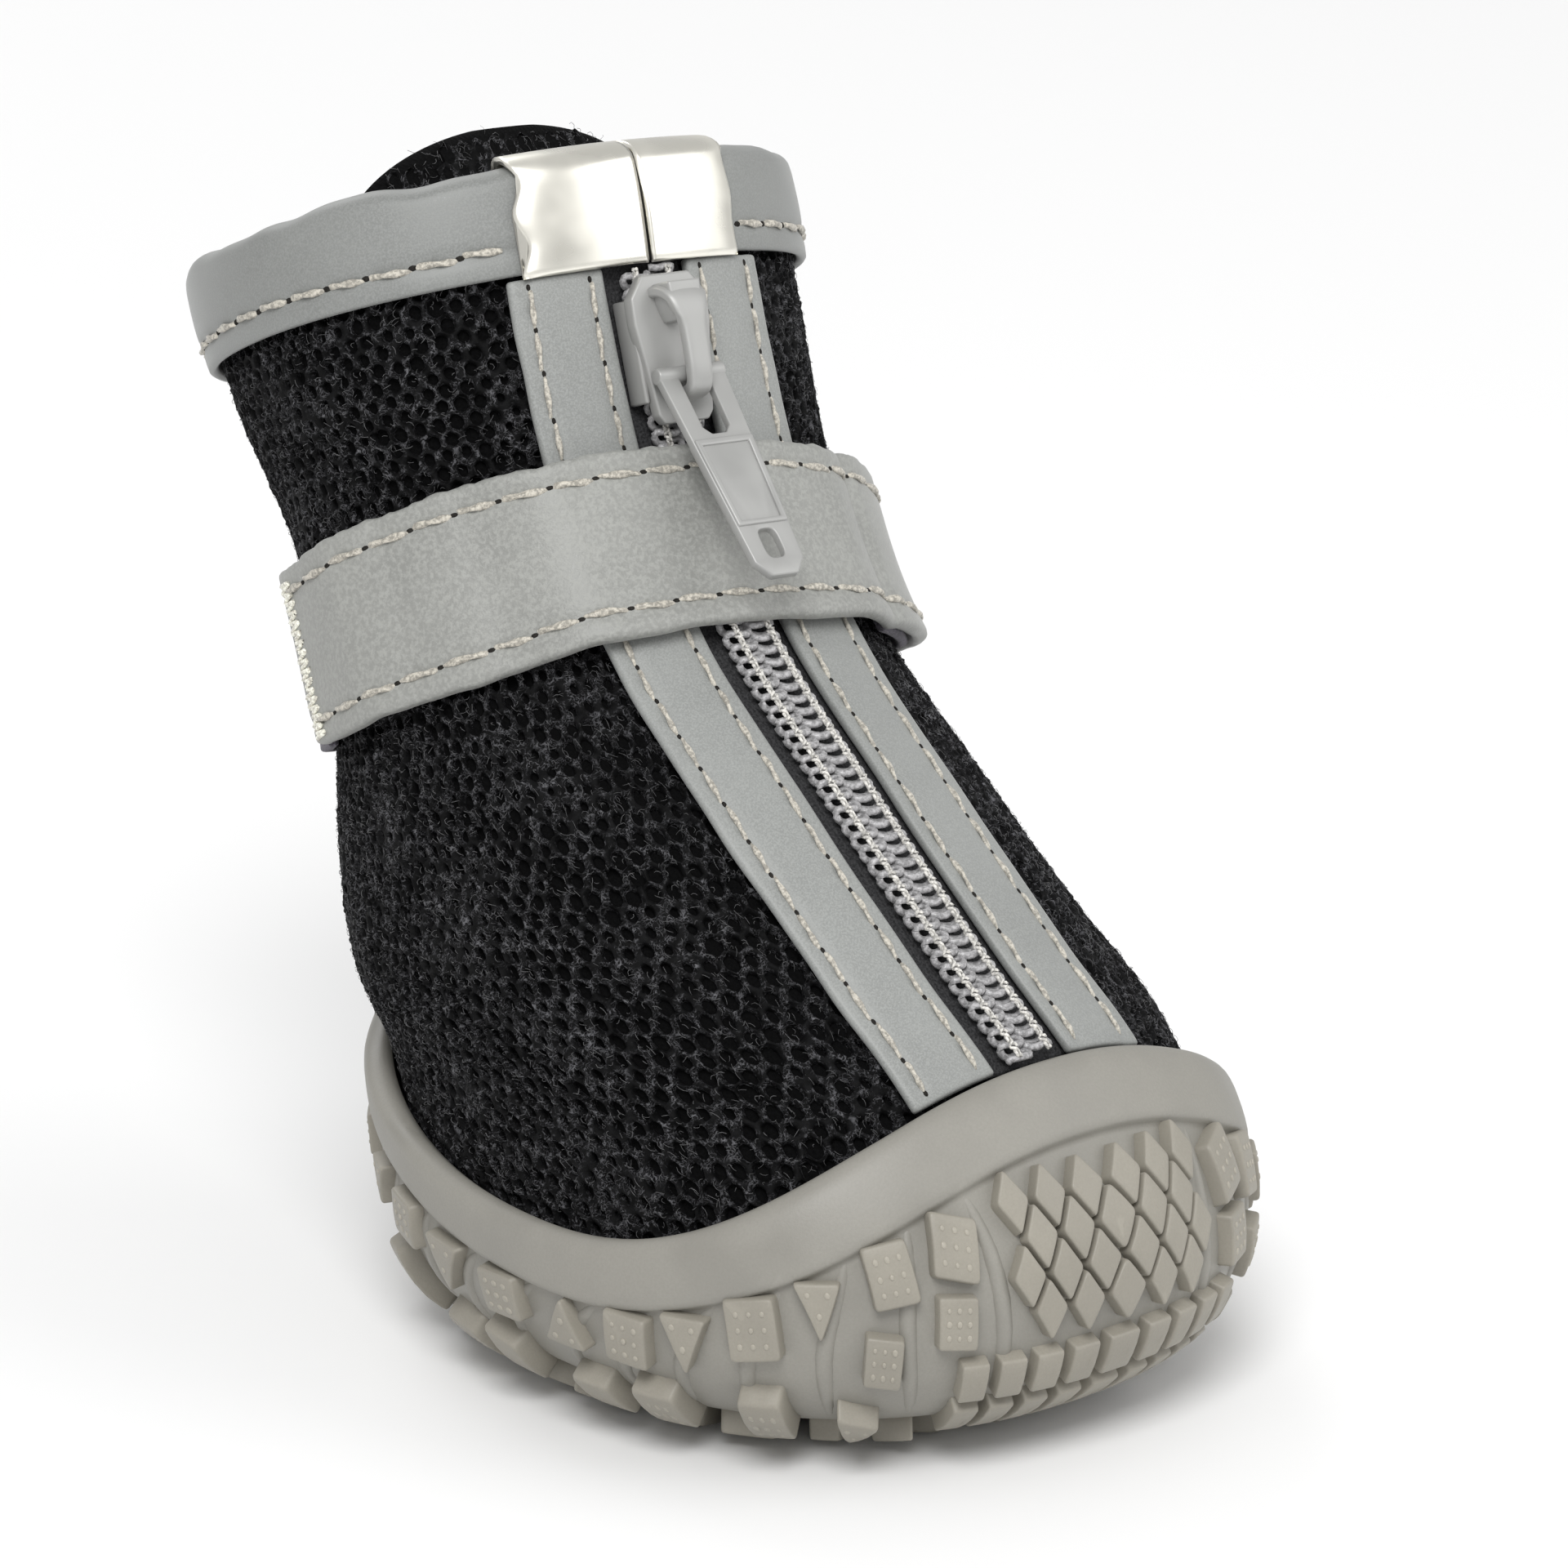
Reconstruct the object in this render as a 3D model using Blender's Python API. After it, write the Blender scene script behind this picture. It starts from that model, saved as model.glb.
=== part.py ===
"""Dog boot: a rubber cup sole, a zipped mesh upper and a reflective strap.

The toe points to -Y, the boot stands on z = 0 and +Z is up. One function, last_surface, gives
the shape of the last, and every curved piece is a layer at some depth over or under it.
A place on the last is (t, phi): t is the way along the last in metres, from the middle of its
floor over the rim to the collar, and phi goes round it, with 0 at the toe and +90 degrees at +X.
"""

import math

import bmesh
import bpy
import numpy as np
from mathutils import Matrix, Vector

MM = 0.001

# Driving sizes of the last
LENGTH = 62.0 * MM          # toe to heel
WIDTH = 50.0 * MM           # across the ball
HEIGHT = 81.0 * MM          # ground to the front of the collar
WIDEST = 0.44               # the widest place of a section, as a share of its depth from the front
BACK_POWER = 2.1            # roundness of the back half of each section

# Walls and clearances
CLEAR = 0.3 * MM            # between pieces that touch
WALL = 2.2 * MM             # upper and insole
SOLE_BASE = 1.7 * MM        # depth of the rubber over the last, between the lugs
RIM_DEPTH = 2.5 * MM        # depth of the rubber over the last, at the rim's bead
RIM_BAND = 4.3 * MM         # height of the smooth band under the rim
RIM_ROUND = 0.5 * MM        # rounding of the rim's top edge
LUG_HEIGHT = 1.6 * MM
WALL_LUG_HEIGHT = 1.1 * MM
LAST_FLOOR = SOLE_BASE + LUG_HEIGHT  # height of the last's floor, so that the lugs stand on z = 0
LUG_ROOT = 0.8 * MM         # how deep a lug is rooted in the rubber
LUG_TAPER = 0.86            # top of a lug over its foot
TAPE_THICK = 0.8 * MM
ZIP_TAPE_THICK = 0.9 * MM
COIL_THICK = 1.3 * MM
STRAP_THICK = 1.2 * MM
LOOP_THICK = 0.8 * MM
BINDING_THICK = 0.7 * MM
CLIP_THICK = 0.5 * MM
TONGUE_THICK = 1.6 * MM

# Heights of the rim's top edge
RIM_SIDE = 15.3 * MM
RIM_TOE = 25.6 * MM
RIM_HEEL = 21.5 * MM

# Widths, measured along the surface
SLOT_HALF = 5.0 * MM        # half the slit in the upper
SLIT_OVER = 1.5 * MM        # how far the slit's cutter reaches past the wall
COIL_HALF = 2.2 * MM
TAPE_INNER = 3.4 * MM       # edge tapes, from the zip's centre line
TAPE_OUTER = 10.2 * MM
STRAP_WIDE = 13.2 * MM
LOOP_WIDE = 12.4 * MM
BINDING_DROP = 6.8 * MM
CLIP_OVER = 0.4 * MM         # how far the clips reach below the binding
CLIP_LEFT_WIDE = 9.2 * MM
CLIP_RIGHT_WIDE = 8.0 * MM
TONGUE_HALF = 16.0 * MM
TONGUE_ROUND = 6.0 * MM      # height of its round top
TONGUE_RISE = 1.4 * MM      # above the collar, along the last
TONGUE_LEAN = 10.0 * MM     # how far its top falls back
TONGUE_FOOT = 4.0 * MM      # its lower end, above the rim

# The strap goes round from its sewn start to its free tip, and the loop band lies under its back
STRAP_START = math.radians(-104)
STRAP_END = math.radians(217)
LOOP_START = math.radians(42)
LOOP_END = math.radians(250)
STRAP_CREST = math.radians(-25)      # where the strap sits highest
STRAP_RISE = 3.0 * MM

# Slider and pull
SLIDER_LONG = 10.5 * MM
SLIDER_WIDE = 6.4 * MM
SLIDER_NOSE = 4.6 * MM      # width at its lower end
PLATE_THICK = 1.1 * MM
FLANGE_THICK = 0.6 * MM
BRIDGE_WIDE = 1.8 * MM
BRIDGE_LONG = 8.0 * MM
BRIDGE_THICK = 1.0 * MM
BRIDGE_POST = 1.3 * MM
PIN_RADIUS = 0.6 * MM
PIN_PLACE = -2.0 * MM       # the pull's axis, along the zip from the slider's middle
PULL_LONG = 17.0 * MM
PULL_WIDE = 5.6 * MM
PULL_TIP = 4.0 * MM
PULL_THICK = 1.1 * MM
PULL_WINDOW_LONG = 5.2 * MM
PULL_HOLE_WIDE = 1.5 * MM
PULL_HOLE_LONG = 2.4 * MM
PULL_HOLE_FROM_TIP = 2.6 * MM
PULL_TILT = math.radians(27)         # how far it stands off the zip, resting on the strap

# Sections of the last. Y is a share of LENGTH, z a share of the way from the last's floor to HEIGHT,
# half width and side are shares of WIDTH.
# side moves a section to +X, twist turns it about +Z and roll drops its +X edge, in degrees.
SECTION_COLUMNS = ("front_y", "front_z", "back_y", "back_z", "half", "side", "twist", "roll", "power")
SECTIONS = {
    "floor": (-0.161, 0.0, 0.194, 0.0, 0.18, 0.0, 0.0, 0.0, 2.0),
    "floor_edge": (-0.323, 0.0, 0.339, 0.0, 0.34, 0.0, 0.0, 0.0, 2.1),
    "bottom_edge": (-0.435, 0.026, 0.452, 0.020, 0.44, 0.0, 0.0, 0.0, 2.2),
    "wall_low": (-0.492, 0.079, 0.500, 0.073, 0.492, 0.0, 0.0, 0.0, 2.25),
    "wall_high": (-0.487, 0.157, 0.513, 0.132, 0.500, 0.0, 0.0, 0.0, 2.25),
    "rim": (-0.408, 0.260, 0.526, 0.189, 0.496, 0.0, 0.0, 0.0, 2.2),
    "instep_low": (-0.282, 0.363, 0.581, 0.254, 0.480, -0.016, -1.0, 0.5, 2.1),
    "instep": (-0.113, 0.485, 0.606, 0.351, 0.448, -0.018, -3.0, 1.5, 2.05),
    "ankle": (0.073, 0.601, 0.623, 0.428, 0.410, 0.004, -5.0, 2.5, 2.05),
    "shaft": (0.210, 0.755, 0.700, 0.582, 0.406, 0.028, -6.0, 3.0, 2.1),
    "shaft_high": (0.274, 0.884, 0.813, 0.691, 0.426, 0.042, -6.0, 3.0, 2.1),
    "collar": (0.327, 1.000, 0.910, 0.788, 0.430, 0.064, -6.0, 3.0, 2.1),
    "above": (0.371, 1.116, 1.000, 0.897, 0.430, 0.084, -6.0, 3.0, 2.1),
}

# Lugs of the tread that come in mirrored pairs. Places are shares of LENGTH (y) and WIDTH (x),
# sizes are shares of WIDTH, turn is in degrees.
PAIR_LUG_COLUMNS = ("kind", "x", "y", "long", "wide", "turn")
PAIR_LUGS = (
    ("square", 0.38, -0.300, 0.064, 0.064, 30),
    ("square", 0.325, -0.222, 0.084, 0.084, 35),
    ("square", 0.430, -0.190, 0.072, 0.056, 15),
    ("square", 0.442, -0.105, 0.070, 0.052, 5),
    ("triangle", 0.398, -0.048, 0.070, 0.070, 200),
    ("square", 0.345, -0.137, 0.080, 0.070, 20),
    ("square", 0.295, -0.060, 0.086, 0.076, 40),
    ("square", 0.372, 0.028, 0.090, 0.088, 12),
    ("triangle", 0.250, 0.004, 0.074, 0.066, 100),
    ("square", 0.450, 0.030, 0.070, 0.046, 0),
    ("triangle", 0.310, 0.112, 0.070, 0.070, 20),
    ("square", 0.405, 0.120, 0.080, 0.086, -10),
    ("square", 0.362, 0.194, 0.060, 0.060, -18),
    ("square", 0.383, 0.256, 0.054, 0.054, -24),
    ("square", 0.312, 0.262, 0.056, 0.056, -30),
    ("triangle", 0.228, 0.075, 0.076, 0.066, -20),
    ("triangle", 0.262, 0.182, 0.076, 0.066, -20),
    ("triangle", 0.165, 0.112, 0.070, 0.066, 160),
    ("triangle", 0.165, 0.188, 0.070, 0.066, 40),
    ("triangle", 0.062, -0.345, 0.076, 0.070, 180),
    ("triangle", 0.145, -0.322, 0.070, 0.062, 60),
    ("triangle", 0.215, -0.350, 0.066, 0.066, 170),
    ("triangle", 0.305, -0.362, 0.070, 0.062, -30),
    ("square", 0.262, -0.283, 0.048, 0.048, 30),
    ("leaf", 0.195, -0.262, 0.100, 0.050, 60),
    ("leaf", 0.162, -0.205, 0.100, 0.050, 60),
    ("leaf", 0.110, -0.145, 0.100, 0.046, 60),
    ("leaf", 0.168, -0.105, 0.100, 0.050, 60),
    ("leaf", 0.130, -0.035, 0.100, 0.050, 60),
    ("triangle", 0.085, 0.075, 0.096, 0.090, 190),
    ("triangle", 0.047, 0.150, 0.066, 0.062, 0),
    ("square", 0.238, 0.308, 0.062, 0.062, 40),
    ("square", 0.228, 0.388, 0.056, 0.056, 45),
    ("triangle", 0.160, 0.262, 0.066, 0.060, 30),
    ("square", 0.160, 0.355, 0.056, 0.050, 45),
    ("square", 0.152, 0.415, 0.050, 0.050, 45),
)

# Lugs on the tread's centre line, in the same columns
MIDDLE_LUGS = (
    ("hexagon", 0.0, -0.252, 0.084, 0.084, 0),
    ("hexagon", 0.0, -0.168, 0.084, 0.084, 0),
    ("hexagon", 0.0, -0.084, 0.084, 0.084, 0),
    ("hexagon", 0.0, 0.0, 0.084, 0.084, 0),
)
LUG_ALONG = 0.8065          # a lug's size along the foot in shares of LENGTH, over the same in shares of WIDTH
HEEL_PATCH_START = 0.232    # first row of the heel's rhombus patch, share of LENGTH
HEEL_PATCH_ROWS = 7
HEEL_PATCH_PITCH = 0.034    # row to row, share of LENGTH
HEEL_PATCH_SIDE = 0.088     # rhombus to rhombus across, share of WIDTH

# Blocks round the side wall: angle from the toe in degrees, drop of its middle under the rim's top edge
# and size in mm, kind, turn
SIDE_LUG_COLUMNS = ("angle", "drop", "size", "kind", "turn")
SIDE_LUGS = (
    (25, 7.2, 3.7, "square", 12), (26, 11.3, 3.2, "square", 4), (35, 6.9, 3.7, "square", -8),
    (37, 11.6, 3.0, "square", 6), (46, 6.7, 3.7, "triangle", 180), (56, 6.6, 3.9, "square", -6),
    (66.5, 6.3, 3.6, "triangle", 180), (76, 6.1, 3.2, "square", 4), (86.5, 6.0, 3.0, "triangle", 0),
    (96.5, 5.7, 2.7, "square", -4), (107.5, 6.0, 3.3, "triangle", 180), (118.5, 6.0, 2.9, "square", 6),
    (129, 6.3, 3.1, "triangle", 180), (141, 6.3, 3.1, "square", 0),
)

# Rhombus field on the toe bumper, and the two rows of bars below it
TOE_COLUMNS = 6
TOE_ROWS = 5
TOE_PITCH = 3.15 * MM
TOE_ROW_PITCH = 2.05 * MM
TOE_RHOMBUS_WIDE = 2.75 * MM
TOE_RHOMBUS_TALL = 3.70 * MM
TOE_FIELD_DROP = 7.1 * MM   # its top row, under the rim's top edge
TOE_FIELD_LOWEST = 11.7 * MM  # lowest middle of a rhombus
BAR_COUNT = 9
BAR_PITCH = 3.1 * MM
BAR_WIDE = 2.5 * MM
BAR_TALL = 2.5 * MM
BAR_ROWS = (6.0 * MM, 8.75 * MM)     # heights of the bars' middles

# Counts of points along and round the pieces
AROUND = 48
PHI_STEP = 2.0 * math.pi / AROUND


def section_values():
    """Section table in metres, one array for each column."""
    rise = HEIGHT - LAST_FLOOR
    scale = {"front_y": LENGTH, "back_y": LENGTH, "front_z": rise, "back_z": rise,
             "half": WIDTH, "side": WIDTH, "twist": 1.0, "roll": 1.0, "power": 1.0}
    table = np.array(list(SECTIONS.values()), float)
    values = {name: table[:, i] * scale[name] for i, name in enumerate(SECTION_COLUMNS)}
    values["front_z"] += LAST_FLOOR
    values["back_z"] += LAST_FLOOR
    return values


def section_places(values):
    """Way along the last of each section."""
    middle_y = (values["front_y"] + values["back_y"]) / 2
    middle_z = (values["front_z"] + values["back_z"]) / 2
    steps = np.hypot(np.diff(middle_y), np.diff(middle_z)) + 0.7 * np.abs(np.diff(values["half"]))
    return np.concatenate([[0.0], np.cumsum(steps)])


VALUES = section_values()
PLACES = section_places(VALUES)
SLOPES = {name: np.gradient(value, PLACES) for name, value in VALUES.items()}
AT = dict(zip(SECTIONS, PLACES))


def section_at(t):
    """Section values at t, by a smooth curve through the table."""
    i = np.clip(np.searchsorted(PLACES, t, side="right") - 1, 0, len(PLACES) - 2)
    span = PLACES[i + 1] - PLACES[i]
    s = (t - PLACES[i]) / span
    result = {}
    for name, value in VALUES.items():
        slope = SLOPES[name]
        result[name] = ((2*s**3 - 3*s**2 + 1) * value[i] + (s**3 - 2*s**2 + s) * slope[i] * span
                        + (-2*s**3 + 3*s**2) * value[i + 1] + (s**3 - s**2) * slope[i + 1] * span)
    return result


def last_surface(t, phi):
    """Points on the last, for arrays of t and phi."""
    t, phi = np.broadcast_arrays(np.asarray(t, float), np.asarray(phi, float))
    v = section_at(t)
    cosine = np.cos(phi)
    sine = np.sin(phi)
    power = np.where(cosine >= 0, v["power"], BACK_POWER)
    across = v["half"] * np.sign(sine) * np.abs(sine) ** (2 / power)
    ahead = np.sign(cosine) * np.abs(cosine) ** (2 / power)
    share = np.where(ahead >= 0, WIDEST * (1 - ahead), WIDEST - (1 - WIDEST) * ahead)
    y = v["front_y"] + (v["back_y"] - v["front_y"]) * share
    z = v["front_z"] + (v["back_z"] - v["front_z"]) * share
    middle = (v["front_y"] + v["back_y"]) / 2
    turn = np.radians(v["twist"])
    x_turned = across * np.cos(turn) - (y - middle) * np.sin(turn)
    y_turned = across * np.sin(turn) + (y - middle) * np.cos(turn) + middle
    z_rolled = z - x_turned * np.tan(np.radians(v["roll"]))
    return np.stack([x_turned + v["side"], y_turned, z_rolled], -1)


def layer(t, phi, depth):
    """Points at a depth outside the last (negative: inside it)."""
    t, phi, depth = np.broadcast_arrays(*(np.asarray(a, float) for a in (t, phi, depth)))
    turn_step = 0.004
    way_step = 0.1 * MM
    near = np.maximum(t, 2 * way_step)
    round_it = last_surface(t, phi + turn_step) - last_surface(t, phi - turn_step)
    along_it = last_surface(near + way_step, phi) - last_surface(near - way_step, phi)
    normal = np.cross(round_it, along_it)
    normal /= np.linalg.norm(normal, axis=-1, keepdims=True)
    return last_surface(t, phi) + normal * depth[..., None]


def phi_of(t, across):
    """The angle on the front half where the last is `across` from the centre line."""
    v = section_at(np.asarray(t, float))
    share = np.clip(np.abs(across) / v["half"], 0, 1)
    return np.sign(across) * np.arcsin(share ** (v["power"] / 2))


def way_at_height(phi, height):
    """The way along the last, above its floor, where it stands at a height."""
    phi, height = np.broadcast_arrays(np.asarray(phi, float), np.asarray(height, float))
    low = np.full(phi.shape, AT["floor_edge"])
    high = np.full(phi.shape, AT["ankle"])
    for _ in range(40):
        middle = (low + high) / 2
        above = last_surface(middle, phi)[..., 2] > height
        high = np.where(above, middle, high)
        low = np.where(above, low, middle)
    return (low + high) / 2


def rim_way(phi):
    """The rubber's top edge: high at the toe, lower at the heel, lowest at the sides."""
    cosine = np.cos(phi)
    toe = (RIM_TOE - RIM_SIDE) * np.maximum(0, cosine) ** 2
    heel = (RIM_HEEL - RIM_SIDE) * np.maximum(0, -cosine) ** 2
    return way_at_height(phi, RIM_SIDE + toe + heel)


def plan_place(x, y):
    """(t, phi) of the last's underside above a point of the floor, or None inside the flat floor."""
    def reach(t):
        v = section_at(t)
        share = (y - v["front_y"]) / (v["back_y"] - v["front_y"])
        ahead = (WIDEST - share) / (WIDEST if share < WIDEST else 1 - WIDEST)
        power = v["power"] if ahead >= 0 else BACK_POWER
        return abs(x / v["half"]) ** power + abs(ahead) ** power, ahead, power
    low = AT["floor_edge"]
    if reach(low)[0] <= 1:
        return None
    high = AT["wall_low"]
    for _ in range(40):
        middle = (low + high) / 2
        if reach(middle)[0] > 1:
            low = middle
        else:
            high = middle
    size, ahead, power = reach(high)
    across = abs(x / section_at(high)["half"]) ** (power / 2)
    forward = abs(ahead) ** (power / 2)
    return high, math.atan2(math.copysign(across, x), math.copysign(forward, ahead))


def sole_point(x, y, depth):
    """A point of the tread's side of the rubber, under the floor's point (x, y)."""
    place = plan_place(x, y)
    if place is None:
        return np.array([x, y, LAST_FLOOR - depth])
    return layer(place[0], place[1], depth)


def wall_point(phi, height, sideways, upward, depth):
    """A point of the side wall, some way sideways and upward from a place at a height."""
    radius = np.linalg.norm(last_surface(AT["wall_low"], phi)[:2])
    turned = phi + sideways / radius
    return layer(way_at_height(turned, height + upward), turned, depth)


def paint(name, colour, roughness, metallic=0.0):
    """A plain material."""
    material = bpy.data.materials.new(name)
    material.use_nodes = True
    shader = material.node_tree.nodes["Principled BSDF"]
    shader.inputs["Base Color"].default_value = (*colour, 1.0)
    shader.inputs["Roughness"].default_value = roughness
    shader.inputs["Metallic"].default_value = metallic
    return material


def make_object(name, points, faces, material, smooth=True):
    """A closed mesh as a scene object, facing out."""
    mesh = bpy.data.meshes.new(name)
    body = bmesh.new()
    verts = [body.verts.new(p) for p in points]
    for face in faces:
        body.faces.new([verts[i] for i in face])
    bmesh.ops.recalc_face_normals(body, faces=body.faces)
    for face in body.faces:
        face.smooth = smooth
    body.to_mesh(mesh)
    body.free()
    if material is not None:
        mesh.materials.append(material)
    made = bpy.data.objects.new(name, mesh)
    bpy.context.scene.collection.objects.link(made)
    return made


def loft(name, grid, material, wrap_rows=False):
    """Rows of points, closed round each row, with the first and last row joined or capped."""
    rows, columns = grid.shape[:2]
    faces = []
    for i in range(rows if wrap_rows else rows - 1):
        for j in range(columns):
            k = (j + 1) % columns
            m = (i + 1) % rows
            faces.append((i * columns + j, i * columns + k, m * columns + k, m * columns + j))
    if not wrap_rows:
        faces.append(tuple(range(columns)))
        faces.append(tuple((rows - 1) * columns + j for j in range(columns)))
    return make_object(name, grid.reshape(-1, 3), faces, material)


def apply_boolean(target, cutter, operation):
    """Joins the cutter to the target, or takes it away, and removes the cutter."""
    modifier = target.modifiers.new(operation.lower(), "BOOLEAN")
    modifier.operation = operation
    modifier.solver = "EXACT"
    modifier.object = cutter
    bpy.context.view_layer.update()
    depsgraph = bpy.context.evaluated_depsgraph_get()
    result = bpy.data.meshes.new_from_object(target.evaluated_get(depsgraph))
    target.modifiers.clear()
    target.data = result
    bpy.data.objects.remove(cutter)


def lug_outline(kind, long, wide, turn):
    """Corners of a lug about its middle."""
    if kind == "hexagon":
        corners = [(math.cos(math.radians(a)) * wide / 2, math.sin(math.radians(a)) * long / 2)
                   for a in range(0, 360, 60)]
    elif kind == "triangle":
        corners = [(-wide / 2, -long * 0.40), (wide / 2, -long * 0.40), (0.0, long * 0.60)]
    elif kind == "leaf":
        corners = [(-wide / 2, 0.0), (-wide * 0.1, -long / 2), (wide / 2, -long * 0.1), (wide * 0.1, long / 2)]
    elif kind == "rhombus":
        corners = [(-wide / 2, 0.0), (0.0, -long / 2), (wide / 2, 0.0), (0.0, long / 2)]
    else:
        corners = [(-wide / 2, -long / 2), (wide / 2, -long / 2), (wide / 2, long / 2), (-wide / 2, long / 2)]
    cosine = math.cos(math.radians(turn))
    sine = math.sin(math.radians(turn))
    return [(cosine * u - sine * v, sine * u + cosine * v) for u, v in corners]


class LugSet:
    """Gathers lugs, each a tapered prism rooted in the rubber."""

    def __init__(self):
        self.points = []
        self.faces = []

    def add(self, corners, place, root, top):
        """place(u, v, depth) gives the point for a corner at a depth."""
        first = len(self.points)
        count = len(corners)
        for u, v in corners:
            self.points.append(place(u, v, root))
        for u, v in corners:
            self.points.append(place(u * LUG_TAPER, v * LUG_TAPER, top))
        for j in range(count):
            k = (j + 1) % count
            self.faces.append((first + j, first + k, first + count + k, first + count + j))
        self.faces.append(tuple(first + j for j in range(count)))
        self.faces.append(tuple(first + count + j for j in range(count)))

    def add_tread(self, kind, x, y, long, wide, turn, side=1):
        """A lug with its place and size in shares, which stretches with the sole. Side -1 mirrors it."""
        corners = lug_outline(kind, long, wide, turn)
        self.add(corners, lambda u, v, d: sole_point(side * (x + u) * WIDTH, (y + v * LUG_ALONG) * LENGTH, d),
                 LUG_ROOT, SOLE_BASE + LUG_HEIGHT)

    def add_wall(self, kind, phi, height, long, wide, turn):
        corners = lug_outline(kind, long, wide, turn)
        self.add(corners, lambda u, v, d: wall_point(phi, height, u, v, d), LUG_ROOT,
                 SOLE_BASE + WALL_LUG_HEIGHT)


def tread_lugs(lugs):
    """Lugs under the sole."""
    for kind, x, y, long, wide, turn in PAIR_LUGS:
        for side in (-1, 1):
            lugs.add_tread(kind, x, y, long, wide, -turn, side)
    for kind, x, y, long, wide, turn in MIDDLE_LUGS:
        lugs.add_tread(kind, x, y, long, wide, turn)
    for row in range(HEEL_PATCH_ROWS):
        across = (-1, 0, 1) if row % 2 else (-0.5, 0.5)
        for step in across:
            lugs.add_tread("rhombus", step * HEEL_PATCH_SIDE, HEEL_PATCH_START + row * HEEL_PATCH_PITCH,
                           HEEL_PATCH_PITCH * 1.75 / LUG_ALONG, HEEL_PATCH_SIDE * 0.86, 0)


def rim_height(phi):
    """Height of the rim's top edge."""
    return float(last_surface(rim_way(phi), phi)[2])


def wall_lugs(lugs):
    """Blocks of the side wall, the toe's rhombus field and the bars below it."""
    for angle, drop, size, kind, turn in SIDE_LUGS:
        for side in (-1, 1):
            phi = side * math.radians(angle)
            lugs.add_wall(kind, phi, rim_height(phi) - drop * MM, size * MM, size * MM, side * turn)
    radius = np.linalg.norm(last_surface(AT["wall_low"], 0.0)[:2])
    top = RIM_TOE - TOE_FIELD_DROP
    for row in range(TOE_ROWS):
        height = top - row * TOE_ROW_PITCH
        if height < TOE_FIELD_LOWEST:
            break
        count = TOE_COLUMNS - row % 2
        for column in range(count):
            phi = (column - (count - 1) / 2) * TOE_PITCH / radius
            lugs.add_wall("rhombus", phi, height, TOE_RHOMBUS_TALL, TOE_RHOMBUS_WIDE, 0)
    for height in BAR_ROWS:
        for column in range(BAR_COUNT):
            phi = (column - (BAR_COUNT - 1) / 2) * BAR_PITCH / radius
            lugs.add_wall("square", phi, height, BAR_TALL, BAR_WIDE, 0)


def make_outsole():
    """The rubber cup with its rim bead and lugs."""
    phi = np.arange(AROUND) * PHI_STEP
    rim = rim_way(phi)
    floor_shares = (0.0, 0.35, 0.7, 1.0)
    rows = []
    # outside, from the middle of the floor up to the rim
    wall_foot = rim - RIM_BAND - RIM_ROUND
    for share in floor_shares:
        rows.append(layer(share * AT["floor_edge"], phi, SOLE_BASE))
    for share in (0.22, 0.42, 0.62, 0.82, 1.0):
        rows.append(layer(AT["floor_edge"] + share * (wall_foot - AT["floor_edge"]), phi, SOLE_BASE))
    for drop, depth in ((RIM_BAND, RIM_DEPTH - 0.6 * RIM_ROUND), (RIM_BAND - 1.2 * RIM_ROUND, RIM_DEPTH),
                        (2.8 * RIM_ROUND, RIM_DEPTH), (RIM_ROUND, RIM_DEPTH - 0.6 * RIM_ROUND),
                        (0.0, RIM_DEPTH - 2.2 * RIM_ROUND)):
        rows.append(layer(rim - drop, phi, depth))
    # inside, back down, at the same places as the rows of the upper and the insole
    rows.append(layer(rim, phi, CLEAR))
    rows.append(layer(np.minimum(AT["rim"], rim - RIM_ROUND), phi, CLEAR))
    rows.append(layer(np.minimum(AT["wall_high"], rim - 2 * RIM_ROUND), phi, CLEAR))
    for t in [AT["wall_low"], (upper_foot() + AT["wall_low"]) / 2, upper_foot()]:
        rows.append(layer(t, phi, CLEAR))
    for share in (1.0, 0.5, 0.0):
        rows.append(layer(share * AT["floor_edge"], phi, CLEAR))
    sole = loft("outsole", np.array(rows), paint("rubber", (0.34, 0.31, 0.27), 0.55))
    lugs = LugSet()
    tread_lugs(lugs)
    wall_lugs(lugs)
    prisms = make_object("lugs", lugs.points, lugs.faces, None, smooth=False)
    apply_boolean(sole, prisms, "UNION")
    return sole


def upper_foot():
    """Where the upper ends under the foot and the insole begins."""
    return AT["floor_edge"] + 0.65 * (AT["bottom_edge"] - AT["floor_edge"])


def make_insole():
    """A board on the cup's floor, inside the upper's lower edge."""
    phi = np.arange(AROUND) * PHI_STEP
    ways = [0.0, AT["floor_edge"] / 2, AT["floor_edge"], upper_foot() - CLEAR]
    rows = [layer(t, phi, 0.0) for t in ways]
    rows += [layer(t, phi, -WALL) for t in reversed(ways)]
    return loft("insole", np.array(rows), paint("insole_fabric", (0.02, 0.02, 0.02), 0.9))


def layer_block(name, ways, half_in, half_out, low, high, material, columns=4):
    """A strip along the zip, from half_in to half_out beside its centre line."""
    across = np.linspace(half_in, half_out, columns)
    rows = []
    for t in ways:
        phi_top = phi_of(t, across)
        top = layer(t, phi_top, high)
        under = layer(t, phi_top[::-1], low)
        rows.append(np.concatenate([top, under]))
    return loft(name, np.array(rows), material)


def zip_foot():
    """The zip's lower end, at the rim of the toe bumper."""
    return float(rim_way(0.0))


def zip_top():
    """The zip's upper end, at the collar's edge."""
    return AT["collar"] - CLEAR


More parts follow.
